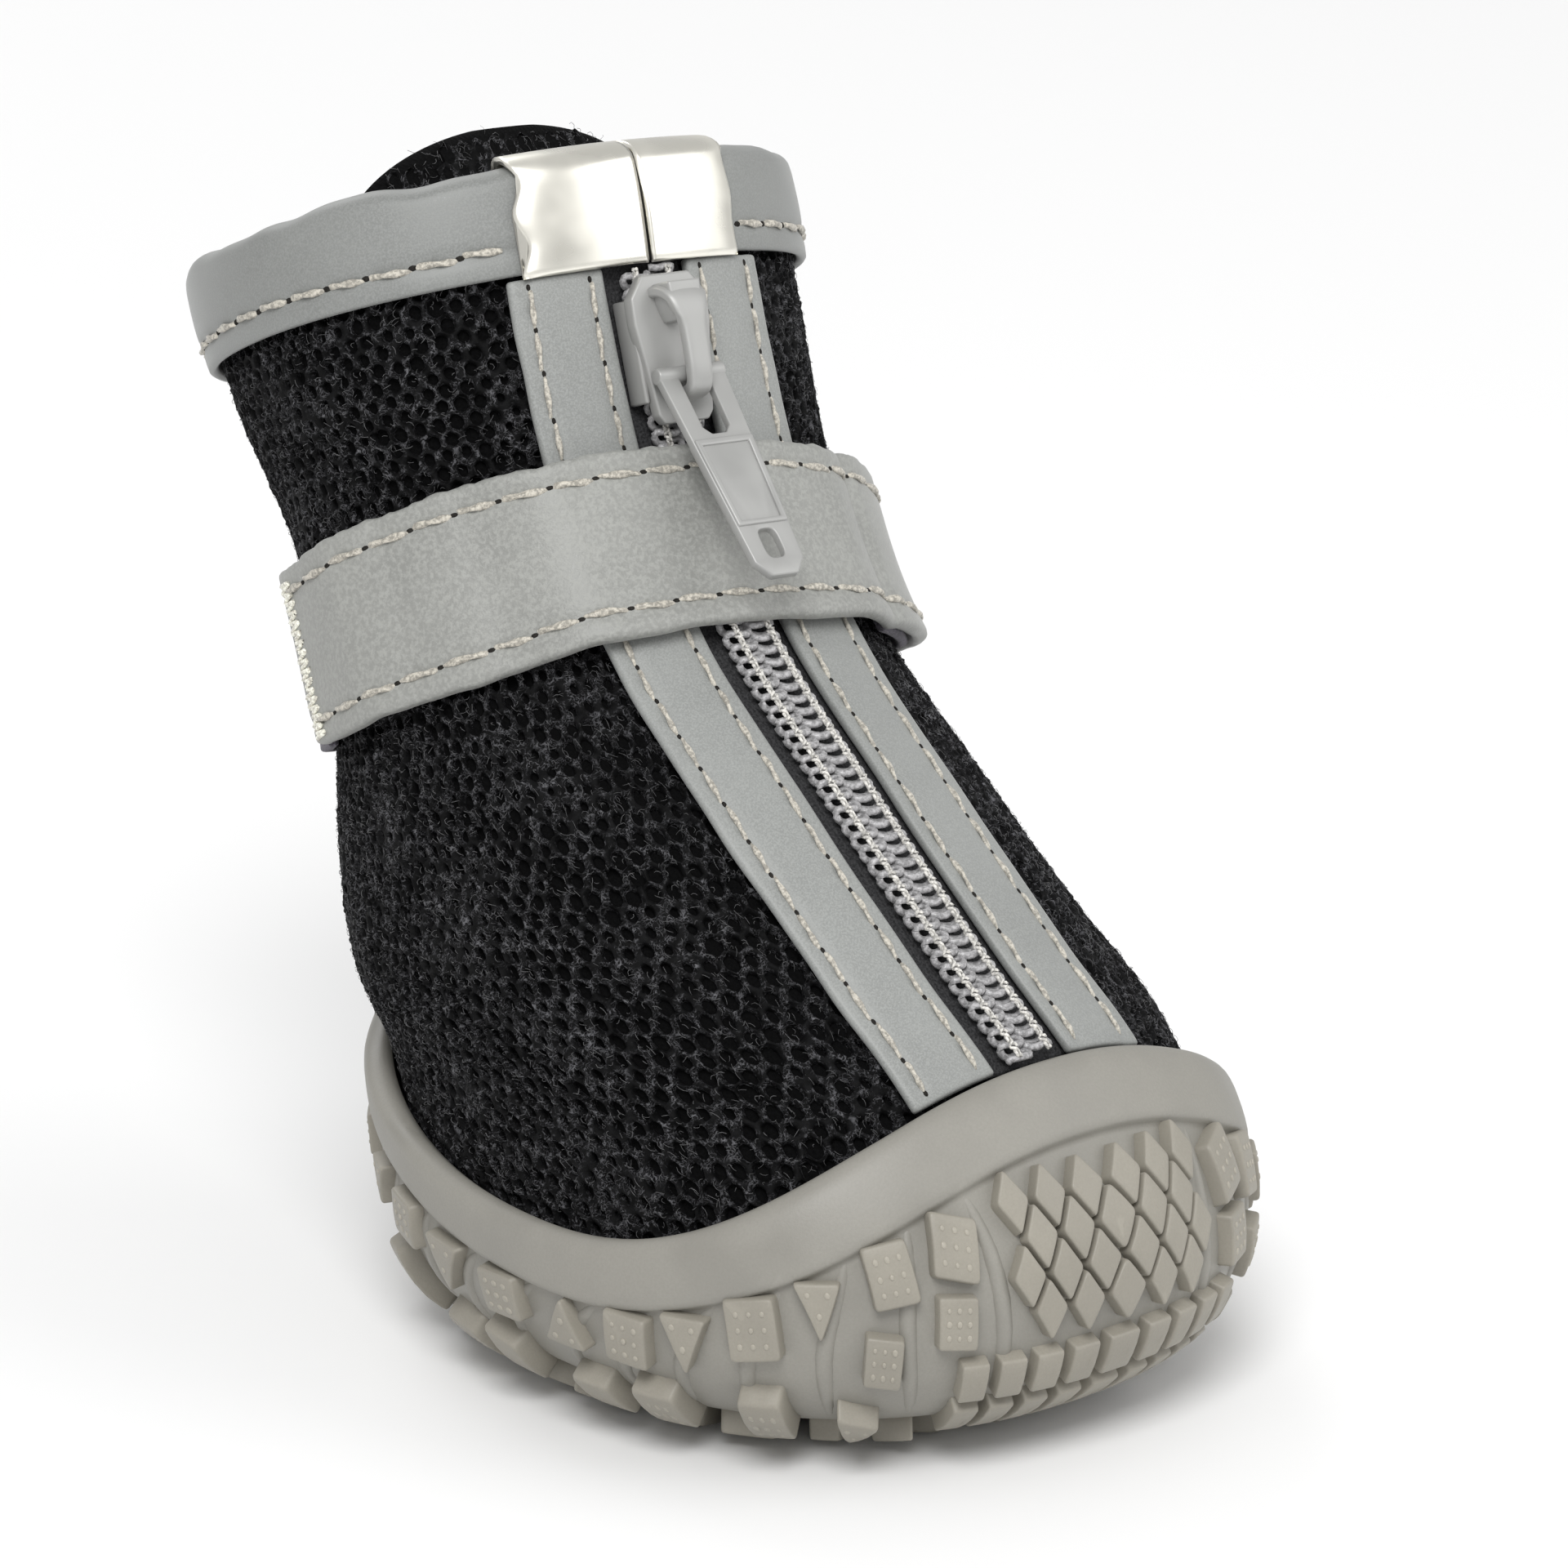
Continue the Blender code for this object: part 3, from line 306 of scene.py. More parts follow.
def strap_way(phi):
    """The strap's middle line."""
    low = AT["ankle"] + 0.31 * (AT["shaft"] - AT["ankle"])
    return low + STRAP_RISE * np.maximum(0.0, np.cos(phi - STRAP_CREST))


def strap_depth(phi):
    """The strap's inner face: over the zip in front, over the loop band behind, else on the mesh."""
    over_zip = 2 * CLEAR + COIL_THICK
    over_loop = 2 * CLEAR + LOOP_THICK
    front = np.clip((math.radians(50) - np.abs(centred(phi))) / math.radians(22), 0, 1)
    front = front * front * (3 - 2 * front)
    behind = np.clip((phi - LOOP_START + math.radians(8)) / math.radians(8), 0, 1)
    start = np.clip((math.radians(-70) - phi) / math.radians(14), 0, 1)
    raised = np.maximum(CLEAR + (over_zip - CLEAR) * front, CLEAR + (over_loop - CLEAR) * behind)
    return np.maximum(raised, CLEAR + (over_loop - CLEAR) * start)


# Materials


def group_of(name, inputs, outputs, build):
    """A shader node group, made once. inputs are numbers by name, outputs are names, and
    build(nodes, links, source, result) fills it."""
    found = bpy.data.node_groups.get(name)
    if found:
        return found
    tree = bpy.data.node_groups.new(name, "ShaderNodeTree")
    for label, value in inputs.items():
        socket = tree.interface.new_socket(name=label, in_out="INPUT", socket_type="NodeSocketFloat")
        socket.default_value = value
    for label in outputs:
        tree.interface.new_socket(name=label, in_out="OUTPUT", socket_type="NodeSocketFloat")
    source = tree.nodes.new("NodeGroupInput")
    result = tree.nodes.new("NodeGroupOutput")
    build(tree.nodes, tree.links, source.outputs, result.inputs)
    return tree


def feed(links, term, socket):
    """Gives a socket its value, from another socket or a number."""
    if isinstance(term, (int, float)):
        socket.default_value = term
    else:
        links.new(term, socket)


def math_node(nodes, links, operation, first, second, clamp=False):
    """A Math node's result. Each term is a socket or a number."""
    node = nodes.new("ShaderNodeMath")
    node.operation = operation
    node.use_clamp = clamp
    for socket, term in zip(node.inputs, (first, second)):
        feed(links, term, socket)
    return node.outputs[0]


def noise_node(nodes, links, scale, detail, **values):
    """A noise texture in the piece's own space. scale is a socket or a number."""
    node = nodes.new("ShaderNodeTexNoise")
    node.inputs["Detail"].default_value = detail
    for label, value in values.items():
        node.inputs[label].default_value = value
    links.new(nodes.new("ShaderNodeTexCoord").outputs["Object"], node.inputs["Vector"])
    feed(links, scale, node.inputs["Scale"])
    return node.outputs["Fac"]


def grain_group():
    """Fine random grain, with a slow unevenness over it."""
    def build(nodes, links, source, result):
        links.new(noise_node(nodes, links, source["Fine"], 3.0, Roughness=0.65), result["Grain"])
        links.new(noise_node(nodes, links, source["Slow"], 2.0), result["Patches"])
    return group_of("Boot grain", {"Fine": 3000.0, "Slow": 120.0}, ("Grain", "Patches"), build)


def fibre_glint_group():
    """Painted glints: thin curled streaks, lit in some places only."""
    def build(nodes, links, source, result):
        def term(operation, first, second, clamp=False):
            return math_node(nodes, links, operation, first, second, clamp)
        lines = []
        for factor in (1.0, 1.37):
            scale = term("MULTIPLY", source["Scale"], factor)
            noise = noise_node(nodes, links, scale, 1.0, Distortion=0.8 * factor)
            off = term("ABSOLUTE", term("SUBTRACT", noise, 0.5), 0)
            lines.append(term("SUBTRACT", 1.0, term("MULTIPLY", off, source["Thinness"]), True))
        lit = noise_node(nodes, links, term("MULTIPLY", source["Scale"], 0.6), 2.0)
        share = term("MULTIPLY", term("SUBTRACT", lit, 0.42), 5.0, True)
        links.new(term("MULTIPLY", term("MAXIMUM", *lines), share), result["Lines"])
    return group_of("Boot fibre glints", {"Scale": 2600.0, "Thinness": 14.0}, ("Lines",), build)


def weave_group():
    """Two crossing sets of threads."""
    def build(nodes, links, source, result):
        place = nodes.new("ShaderNodeTexCoord").outputs["Object"]
        bands = []
        for axis in ("X", "Z"):
            wave = nodes.new("ShaderNodeTexWave")
            wave.bands_direction = axis
            wave.inputs["Distortion"].default_value = 0.6
            wave.inputs["Detail"].default_value = 1.0
            wave.inputs["Detail Scale"].default_value = 2.0
            links.new(place, wave.inputs["Vector"])
            links.new(source["Scale"], wave.inputs["Scale"])
            bands.append(wave.outputs["Fac"])
        links.new(math_node(nodes, links, "MULTIPLY", *bands), result["Threads"])
    return group_of("Boot weave", {"Scale": 400.0}, ("Threads",), build)


def edge_highlight_wear_group():
    """Paler edges from the shape's corners, broken up by noise: a painted edge highlight, with some wear."""
    def build(nodes, links, source, result):
        ramp = nodes.new("ShaderNodeMapRange")
        links.new(nodes.new("ShaderNodeNewGeometry").outputs["Pointiness"], ramp.inputs["Value"])
        links.new(source["From"], ramp.inputs["From Min"])
        links.new(source["To"], ramp.inputs["From Max"])
        noise = noise_node(nodes, links, 500.0, 3.0)
        links.new(math_node(nodes, links, "MULTIPLY", ramp.outputs["Result"], noise, True), result["Mask"])
    return group_of("Boot edge highlight and wear", {"From": 0.52, "To": 0.62}, ("Mask",), build)


def tint(colour, factor):
    """A colour made lighter or darker."""
    return tuple(min(1.0, c * factor) for c in colour[:3])


class Finish:
    """Builds one material around a Principled BSDF."""

    def __init__(self, name, roughness, metallic=0.0):
        self.material = bpy.data.materials.new(name)
        self.material.use_nodes = True
        self.nodes = self.material.node_tree.nodes
        self.links = self.material.node_tree.links
        self.shader = self.nodes["Principled BSDF"]
        self.shader.inputs["Roughness"].default_value = roughness
        self.shader.inputs["Metallic"].default_value = metallic

    def group(self, tree, **values):
        node = self.nodes.new("ShaderNodeGroup")
        node.node_tree = tree
        for label, value in values.items():
            node.inputs[label].default_value = value
        return node.outputs

    def mix(self, mask, low, high):
        """A colour between low and high. Each is a colour or a socket."""
        node = self.nodes.new("ShaderNodeMix")
        node.data_type = "RGBA"
        self.links.new(mask, node.inputs["Factor"])
        for index, colour in ((6, low), (7, high)):
            if isinstance(colour, bpy.types.NodeSocket):
                self.links.new(colour, node.inputs[index])
            else:
                node.inputs[index].default_value = (*colour[:3], 1.0)
        return node.outputs[2]

    def spread(self, value, low, high, start=0.35, end=0.65):
        """Maps a mask from start..end to low..high."""
        node = self.nodes.new("ShaderNodeMapRange")
        for label, number in (("From Min", start), ("From Max", end), ("To Min", low), ("To Max", high)):
            node.inputs[label].default_value = number
        self.links.new(value, node.inputs["Value"])
        return node.outputs["Result"]

    def sum(self, first, second, operation="ADD"):
        return math_node(self.nodes, self.links, operation, first, second)

    def colour(self, socket):
        self.links.new(socket, self.shader.inputs["Base Color"])

    def roughness(self, socket):
        self.links.new(socket, self.shader.inputs["Roughness"])

    def bump(self, height, depth, strength=0.6):
        node = self.nodes.new("ShaderNodeBump")
        node.inputs["Strength"].default_value = strength
        node.inputs["Distance"].default_value = depth
        self.links.new(height, node.inputs["Height"])
        self.links.new(node.outputs["Normal"], self.shader.inputs["Normal"])

    def grain(self, fine, slow):
        """The grain group's sockets, Grain and Patches."""
        return self.group(grain_group(), Fine=fine, Slow=slow)

    def shade(self, mask, colour, dark, light, start=0.35, end=0.65):
        """The colour, made dark where the mask is low and light where it is high."""
        return self.mix(self.spread(mask, 0, 1, start, end), tint(colour, dark), tint(colour, light))

    def edge_highlight_and_wear(self, body, pale, reach, share):
        """The body's colour, turning pale at sharp corners: a painted edge highlight, with some wear. A larger
        reach pales fewer corners.
        """
        mask = self.group(edge_highlight_wear_group(), From=0.53, To=reach)["Mask"]
        return self.mix(self.spread(mask, 0, share, 0.1, 0.9), body, pale)

    def set(self, **values):
        for label, value in values.items():
            self.shader.inputs[label.replace("_", " ")].default_value = value


def rubber_finish(colour, name="Sole rubber"):
    made = Finish(name, 0.5)
    grain = made.grain(5200.0, 160.0)
    body = made.shade(grain["Patches"], colour, 0.93, 1.05)
    body = made.mix(made.spread(grain["Grain"], 0, 0.22), body, tint(colour, 0.72))
    # Sharp corners paled: painted edge highlight, with some wear.
    made.colour(made.edge_highlight_and_wear(body, tint(colour, 1.35), 0.62, 0.45))
    made.roughness(made.spread(grain["Patches"], 0.42, 0.56))
    made.bump(grain["Grain"], 0.03 * MM, 0.5)
    return made.material


def mesh_finish(colour):
    made = Finish("Black mesh", 0.72)
    grain = made.grain(4200.0, 1500.0)
    lines = made.group(fibre_glint_group(), Scale=1750.0, Thinness=24.0)["Lines"]
    # The fibre streaks go to a far paler copy of the net's colour: painted glints on the black threads.
    made.colour(made.mix(lines, made.shade(grain["Patches"], colour, 0.3, 1.0), tint(colour, 26.0)))
    made.bump(made.sum(grain["Grain"], lines), 0.12 * MM, 0.9)
    made.set(Specular_IOR_Level=0.1)
    return made.material


def lining_finish(name, colour):
    """Dull dark cloth with a fine weave."""
    made = Finish(name, 0.95)
    grain = made.grain(6000.0, 700.0)
    weave = made.group(weave_group(), Scale=900.0)
    made.colour(made.shade(grain["Grain"], colour, 0.45, 1.2))
    made.bump(made.sum(weave["Threads"], grain["Grain"]), 0.08 * MM, 0.7)
    made.set(Specular_IOR_Level=0.12)
    return made.material


def tape_finish(name, colour, fine, depth):
    """Reflective cloth: its pale grain specks are a painted sparkle of the beads."""
    made = Finish(name, 0.46)
    grain = made.grain(fine, 140.0)
    pale = tint(colour, 1.5)
    body = made.shade(grain["Patches"], colour, 0.94, 1.05)
    # Grain specks mixed towards a paler copy: painted sparkle of the beads.
    body = made.mix(made.spread(grain["Grain"], 0, 0.5, 0.42, 0.62), body, pale)
    # Sharp corners paled: painted edge highlight, with some wear.
    made.colour(made.edge_highlight_and_wear(body, pale, 0.66, 0.5))
    made.roughness(made.spread(grain["Grain"], 0.36, 0.6))
    made.bump(grain["Grain"], depth, 0.6)
    made.set(Sheen_Weight=0.15, Sheen_Roughness=0.4)
    return made.material


def thread_finish(name, colour):
    made = Finish(name, 0.55)
    grain = made.grain(3800.0, 1200.0)
    made.colour(made.shade(grain["Grain"], colour, 0.62, 1.32, 0.4, 0.6))
    made.bump(grain["Grain"], 0.06 * MM, 0.8)
    made.set(Sheen_Weight=0.2)
    return made.material


def metal_finish(name, colour, roughness, metallic=1.0, painted_pale=0.5):
    made = Finish(name, roughness, metallic)
    grain = made.grain(2600.0, 220.0)
    body = made.shade(grain["Patches"], colour, 0.93, 1.04)
    # Sharp corners paled: painted edge highlight, with some wear.
    made.colour(made.edge_highlight_and_wear(body, tint(colour, 1.3), 0.64, painted_pale))
    made.roughness(made.spread(grain["Patches"], roughness * 0.85, roughness * 1.25))
    made.bump(grain["Patches"], 0.02 * MM, 0.4)
    return made.material


def knit_finish(colour):
    """Rough knit of small loops."""
    made = Finish("Loop knit", 0.92)
    grain = made.grain(7000.0, 1400.0)
    made.colour(made.shade(grain["Grain"], colour, 0.5, 1.8))
    made.bump(made.sum(grain["Grain"], grain["Patches"]), 0.3 * MM, 0.9)
    made.set(Sheen_Weight=0.3)
    return made.material


def hole_finish():
    """Shade inside the pinholes, made once."""
    found = bpy.data.materials.get("Pinhole shade")
    if found:
        return found
    made = Finish("Pinhole shade", 0.95)
    grain = made.grain(9000.0, 900.0)
    made.colour(made.mix(made.spread(grain["Grain"], 0, 1), (0.012, 0.011, 0.010), (0.03, 0.028, 0.025)))
    made.set(Specular_IOR_Level=0.1)
    return made.material


# Mesh helpers


def mesh_object(name, points, faces, materials, smooth=True):
    """A scene object from points and faces. materials is one or a list, and faces may be an array."""
    mesh = bpy.data.meshes.new(name)
    mesh.from_pydata(np.asarray(points, float).reshape(-1, 3).tolist(), [],
                     faces.tolist() if isinstance(faces, np.ndarray) else faces)
    for material in materials if isinstance(materials, (list, tuple)) else [materials]:
        mesh.materials.append(material)
    if smooth:
        mesh.shade_smooth()
    made = bpy.data.objects.new(name, mesh)
    bpy.context.scene.collection.objects.link(made)
    return made


def face_out(made, merge=None):
    """Welds close points if asked, and turns all faces outward."""
    body = bmesh.new()
    body.from_mesh(made.data)
    if merge:
        bmesh.ops.remove_doubles(body, verts=body.verts, dist=merge)
    bmesh.ops.recalc_face_normals(body, faces=body.faces)
    body.to_mesh(made.data)
    body.free()
    return made


def grid_faces(rows, columns, first=0, wrap_rows=False, wrap_columns=False):
    """Quads of a grid of points, as an array."""
    i = np.arange(rows if wrap_rows else rows - 1)
    j = np.arange(columns if wrap_columns else columns - 1)
    i, j = np.meshgrid(i, j, indexing="ij")
    k = (j + 1) % columns
    m = (i + 1) % rows
    quads = np.stack([i * columns + j, i * columns + k, m * columns + k, m * columns + j], -1)
    return quads.reshape(-1, 4) + first


def tube_loft(name, grid, materials, wrap_rows=False, capped=True):
    """Rows of points, each closed on itself, with the first and last row capped or joined."""
    rows, columns = grid.shape[:2]
    faces = grid_faces(rows, columns, wrap_rows=wrap_rows, wrap_columns=True).tolist()
    if capped and not wrap_rows:
        faces.append(list(range(columns)))
        faces.append([(rows - 1) * columns + j for j in range(columns)])
    return face_out(mesh_object(name, grid, faces, materials))


def rounded_loop(start, end, low, high, radius, across=10, arc=3):
    """Closed loop of (side, depth) of a strip with rounded edges."""
    radius = min(radius, (high - low) / 2)
    left, right = start + radius, end - radius
    lower, upper = low + radius, high - radius
    turn = np.radians(np.linspace(0, 90, arc + 1))
    inner = np.linspace(left, right, across)
    loop = [(s, high) for s in inner]
    loop += [(right + radius * math.sin(a), upper + radius * math.cos(a)) for a in turn[1:]]
    loop += [(right + radius * math.cos(a), lower - radius * math.sin(a)) for a in turn[:-1]]
    loop += [(s, low) for s in inner[::-1]]
    loop += [(left - radius * math.sin(a), lower - radius * math.cos(a)) for a in turn[1:]]
    loop += [(left - radius * math.cos(a), upper + radius * math.sin(a)) for a in turn[:-1]]
    return np.array(loop)


def round_ends(stations, end, radius, half_wide, half_thick):
    """Stations with rounded ends: rows of way, width share and thickness share. end is the rounding's
    reach in the stations' own unit, and radius its depth in metres."""
    rows = []
    for a in np.radians((0, 30, 60)):
        inset = radius * (1 - math.sin(a))
        rows.append((stations[0] + end * (1 - math.cos(a)), 1 - inset / half_wide, 1 - inset / half_thick))
    middle = [(s, 1.0, 1.0) for s in np.linspace(stations[0] + end, stations[-1] - end, len(stations))]
    ends = [(stations[-1] - (way - stations[0]), wide, thick) for way, wide, thick in rows]
    return np.array(rows + middle + ends[::-1])


def sweep(name, place, stations, loop, end, materials):
    """Sweeps a loop of (side, depth) along stations, with rounded ends.
    place(way, side, depth) gives points."""
    middle = (loop.max(0) + loop.min(0)) / 2
    half = (loop.max(0) - loop.min(0)) / 2
    rows = round_ends(stations, end, 0.6 * half[1], *half)
    side = middle[0] + (loop[None, :, 0] - middle[0]) * rows[:, 1, None]
    depth = middle[1] + (loop[None, :, 1] - middle[1]) * rows[:, 2, None]
    grid = place(rows[:, 0, None] + 0 * side, side, depth)
    return tube_loft(name, grid, materials)


def waver(way, seed, pitch, amount):
    """A smooth irregular wave along a way."""
    rng = np.random.default_rng(SEED + seed)
    result = 0 * way
    for share in (1.0, 0.53, 0.29):
        result = result + np.sin(way / (pitch * share) * 2 * math.pi + rng.uniform(0, 6.3)) * share
    return result * amount / 1.8


class SeamPath:
    """A line on the last, read by its real length."""

    def __init__(self, t, phi, depth):
        self.values = np.broadcast_arrays(*(np.asarray(a, float) for a in (t, phi, depth)))
        points = layer(*self.values)
        steps = np.linalg.norm(np.diff(points, axis=0), axis=-1)
        self.ways = np.concatenate([[0.0], np.cumsum(steps)])
        self.length = self.ways[-1]

    def at(self, way):
        """Way along the last, angle and depth, at each way along this line."""
        return [np.interp(way, self.ways, values) for values in self.values]

    def axes(self, way):
        """Point, tangent, outward normal and sideways direction at each way."""
        t, phi, depth = self.at(way)
        step = 0.05 * MM
        tangent = unit(layer(*self.at(way + step)) - layer(*self.at(way - step)), 1e-12)
        side = unit(np.cross(tangent, outward(t, phi)))
        return layer(t, phi, depth), tangent, np.cross(side, tangent), side


class PieceSet:
    """Gathers points and faces into one mesh."""

    def __init__(self):
        self.points = []
        self.faces = []
        self.count = 0

    def build(self, name, material):
        return face_out(mesh_object(name, np.concatenate(self.points), self.faces, material))


class ThreadSet(PieceSet):
    """Tubes of thread."""

    def add(self, rings):
        """rings: array (tubes, rows, columns, 3)."""
        tubes, rows, columns = rings.shape[:3]
        one = grid_faces(rows, columns, wrap_columns=True)
        first = np.arange(columns)
        for k in range(tubes):
            start = self.count + k * rows * columns
            self.faces += (one + start).tolist()
            self.faces.append((first[::-1] + start).tolist())
            self.faces.append((first + start + (rows - 1) * columns).tolist())
        self.points.append(rings.reshape(-1, 3))
        self.count += tubes * rows * columns

    def stitches(self, path, pitch, radius, seed, holes=None, fill=0.96, rise=0.85):
        """A row of twisted stitches along a path. Each dips into a pinhole at its ends."""
        rng = np.random.default_rng(SEED + seed)
        count = max(1, int(round(path.length / pitch)))
        step = path.length / count
        rows, columns = 11, 8
        share = np.linspace(0, 1, rows)
        joints = (np.arange(count + 1) + rng.normal(0, 0.03, count + 1)) * step
        gap = (1 - fill) / 2 * step
        begin, end = joints[:-1] + gap, joints[1:] - gap
        way = begin[:, None] + share[None, :] * (end - begin)[:, None]
        point, _, up, across = path.axes(way)
        hump = np.sin(share * math.pi) ** 0.5
        height = radius * (rise * 1.7 * hump - 0.9) + rng.normal(0, 0.06, (count, 1)) * radius * hump
        drift = radius * (rng.normal(0, 0.25, (count, 1)) + 0.9 * (share - 0.5))
        centre = point + up * height[..., None] + across * drift[..., None]
        turn = np.linspace(0, 2 * math.pi, columns, endpoint=False)[None, None, :]
        twist = (share[None, :, None] * 1.6 + rng.uniform(0, 1, (count, 1, 1))) * math.pi * 2
        thick = radius * (0.55 + 0.45 * np.sin(share * math.pi) ** 0.5)[None, :, None]
        reach = thick * (1 + 0.30 * np.cos(2 * turn - twist))
        rings = (centre[:, :, None, :] + up[:, :, None, :] * (reach * np.cos(turn))[..., None]
                 + across[:, :, None, :] * (reach * np.sin(turn))[..., None] * 1.1)
        self.add(rings)
        if holes is not None:
            holes.pinholes(path, joints, radius)

    def pinholes(self, path, ways, radius):
        """Dark plugs, flush with the cloth, where stitches meet: painted shade of the needle holes."""
        point, tangent, up, across = path.axes(ways)
        share = np.radians((-80, -40, 0, 40, 80))
        turn = np.linspace(0, 2 * math.pi, 8, endpoint=False)
        ring = np.cos(share)[None, :, None, None]
        lift = up[:, None, None, :] * (np.sin(share) * 0.45)[None, :, None, None]
        lift = lift - up[:, None, None, :] * 0.25
        flat = (tangent[:, None, None, :] * (1.45 * np.cos(turn))[None, None, :, None]
                + across[:, None, None, :] * (0.95 * np.sin(turn))[None, None, :, None])
        self.add(point[:, None, None, :] + 1.15 * radius * (lift + flat * ring))

    def cord(self, points, radius, columns=6):
        """One tube along given points. radius may be an array."""
        points = np.asarray(points, float)
        tangent = unit(np.gradient(points, axis=0))
        guide = np.array([0.31, 0.22, 0.92])
        side = unit(np.cross(tangent, guide))
        up = np.cross(side, tangent)
        angle = np.linspace(0, 2 * math.pi, columns, endpoint=False)
        reach = np.broadcast_to(np.asarray(radius, float), points.shape[:1])[:, None, None]
        rings = (points[:, None, :] + reach * (up[:, None, :] * np.cos(angle)[None, :, None]
                                               + side[:, None, :] * np.sin(angle)[None, :, None]))
        self.add(rings[None])


def settle(made, body, slot, *replaced):
    """Says what a piece rides on and hides the CAD nodes it stands for. slot is not used."""
    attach(made, body)
    if replaced:
        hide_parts(*replaced)
    return made


# Outsole

PAIR_LUGS = (
    ("square", 0.38, -0.300, 0.064, 0.064, 30),
    ("square", 0.325, -0.222, 0.084, 0.084, 35),
    ("square", 0.430, -0.190, 0.072, 0.056, 15),
    ("square", 0.442, -0.105, 0.070, 0.052, 5),
    ("triangle", 0.398, -0.048, 0.070, 0.070, 200),
    ("square", 0.345, -0.137, 0.080, 0.070, 20),
    ("square", 0.295, -0.060, 0.086, 0.076, 40),
    ("square", 0.372, 0.028, 0.090, 0.088, 12),
    ("triangle", 0.250, 0.004, 0.074, 0.066, 100),
    ("square", 0.450, 0.030, 0.070, 0.046, 0),
    ("triangle", 0.310, 0.112, 0.070, 0.070, 20),
    ("square", 0.405, 0.120, 0.080, 0.086, -10),
    ("square", 0.362, 0.194, 0.060, 0.060, -18),
    ("square", 0.383, 0.256, 0.054, 0.054, -24),
    ("square", 0.312, 0.262, 0.056, 0.056, -30),
    ("triangle", 0.228, 0.075, 0.076, 0.066, -20),
    ("triangle", 0.262, 0.182, 0.076, 0.066, -20),
    ("triangle", 0.165, 0.112, 0.070, 0.066, 160),
    ("triangle", 0.165, 0.188, 0.070, 0.066, 40),
    ("triangle", 0.062, -0.345, 0.076, 0.070, 180),
    ("triangle", 0.145, -0.322, 0.070, 0.062, 60),
    ("triangle", 0.215, -0.350, 0.066, 0.066, 170),
    ("triangle", 0.305, -0.362, 0.070, 0.062, -30),
    ("square", 0.262, -0.283, 0.048, 0.048, 30),
    ("leaf", 0.195, -0.262, 0.100, 0.050, 60),
    ("leaf", 0.162, -0.205, 0.100, 0.050, 60),
    ("leaf", 0.110, -0.145, 0.100, 0.046, 60),
    ("leaf", 0.168, -0.105, 0.100, 0.050, 60),
    ("leaf", 0.130, -0.035, 0.100, 0.050, 60),
    ("triangle", 0.085, 0.075, 0.096, 0.090, 190),
    ("triangle", 0.047, 0.150, 0.066, 0.062, 0),
    ("square", 0.238, 0.308, 0.062, 0.062, 40),
    ("square", 0.228, 0.388, 0.056, 0.056, 45),
    ("triangle", 0.160, 0.262, 0.066, 0.060, 30),
    ("square", 0.160, 0.355, 0.056, 0.050, 45),
    ("square", 0.152, 0.415, 0.050, 0.050, 45),
)
MIDDLE_LUGS = tuple(("hexagon", 0.0, y, 0.084, 0.084, 0) for y in (-0.252, -0.168, -0.084, 0.0))
LUG_ALONG = 0.8065
HEEL_PATCH_START = 0.232
HEEL_PATCH_ROWS = 7
HEEL_PATCH_PITCH = 0.034
HEEL_PATCH_SIDE = 0.088
HEEL_RHOMBUS_LONG = 1.75
HEEL_RHOMBUS_WIDE = 0.86
SIDE_LUGS = (
    (25, 7.2, 3.7, "square", 12), (26, 11.3, 3.2, "square", 4), (35, 6.9, 3.7, "square", -8),
    (37, 11.6, 3.0, "square", 6), (46, 6.7, 3.7, "triangle", 180), (56, 6.6, 3.9, "square", -6),
    (66.5, 6.3, 3.6, "triangle", 180), (76, 6.1, 3.2, "square", 4), (86.5, 6.0, 3.0, "triangle", 0),
    (96.5, 5.7, 2.7, "square", -4), (107.5, 6.0, 3.3, "triangle", 180), (118.5, 6.0, 2.9, "square", 6),
    (129, 6.3, 3.1, "triangle", 180), (141, 6.3, 3.1, "square", 0),
)
TOE_COLUMNS = 6
TOE_ROWS = 5
TOE_PITCH = 3.15 * MM
TOE_ROW_PITCH = 2.05 * MM
TOE_RHOMBUS_WIDE = 2.75 * MM
TOE_RHOMBUS_TALL = 3.70 * MM
TOE_FIELD_DROP = 7.1 * MM
TOE_FIELD_LOWEST = 11.7 * MM
BAR_COUNT = 9
BAR_PITCH = 3.1 * MM
BAR_WIDE = 2.5 * MM
BAR_TALL = 2.5 * MM
BAR_ROWS = (6.0 * MM, 8.75 * MM)
SIDE_SCALE = 1.1
TOE_SCALE = 1.12
DOT_LUG_WIDE = 0.055


def lug_outline(kind, long, wide, turn):
    """Corners of a lug about its middle."""
    if kind == "hexagon":
        corners = [(math.cos(math.radians(a)) * wide / 2, math.sin(math.radians(a)) * long / 2)
                   for a in range(0, 360, 60)]
    elif kind == "triangle":
        corners = [(-wide / 2, -long * 0.40), (wide / 2, -long * 0.40), (0.0, long * 0.60)]
    elif kind == "leaf":
        corners = [(-wide / 2, 0.0), (-wide * 0.1, -long / 2),
                   (wide / 2, -long * 0.1), (wide * 0.1, long / 2)]
    elif kind == "rhombus":
        corners = [(-wide / 2, 0.0), (0.0, -long / 2), (wide / 2, 0.0), (0.0, long / 2)]
    else:
        corners = [(-wide / 2, -long / 2), (wide / 2, -long / 2), (wide / 2, long / 2), (-wide / 2, long / 2)]
    return np.array([turned(u, v, turn) for u, v in corners])


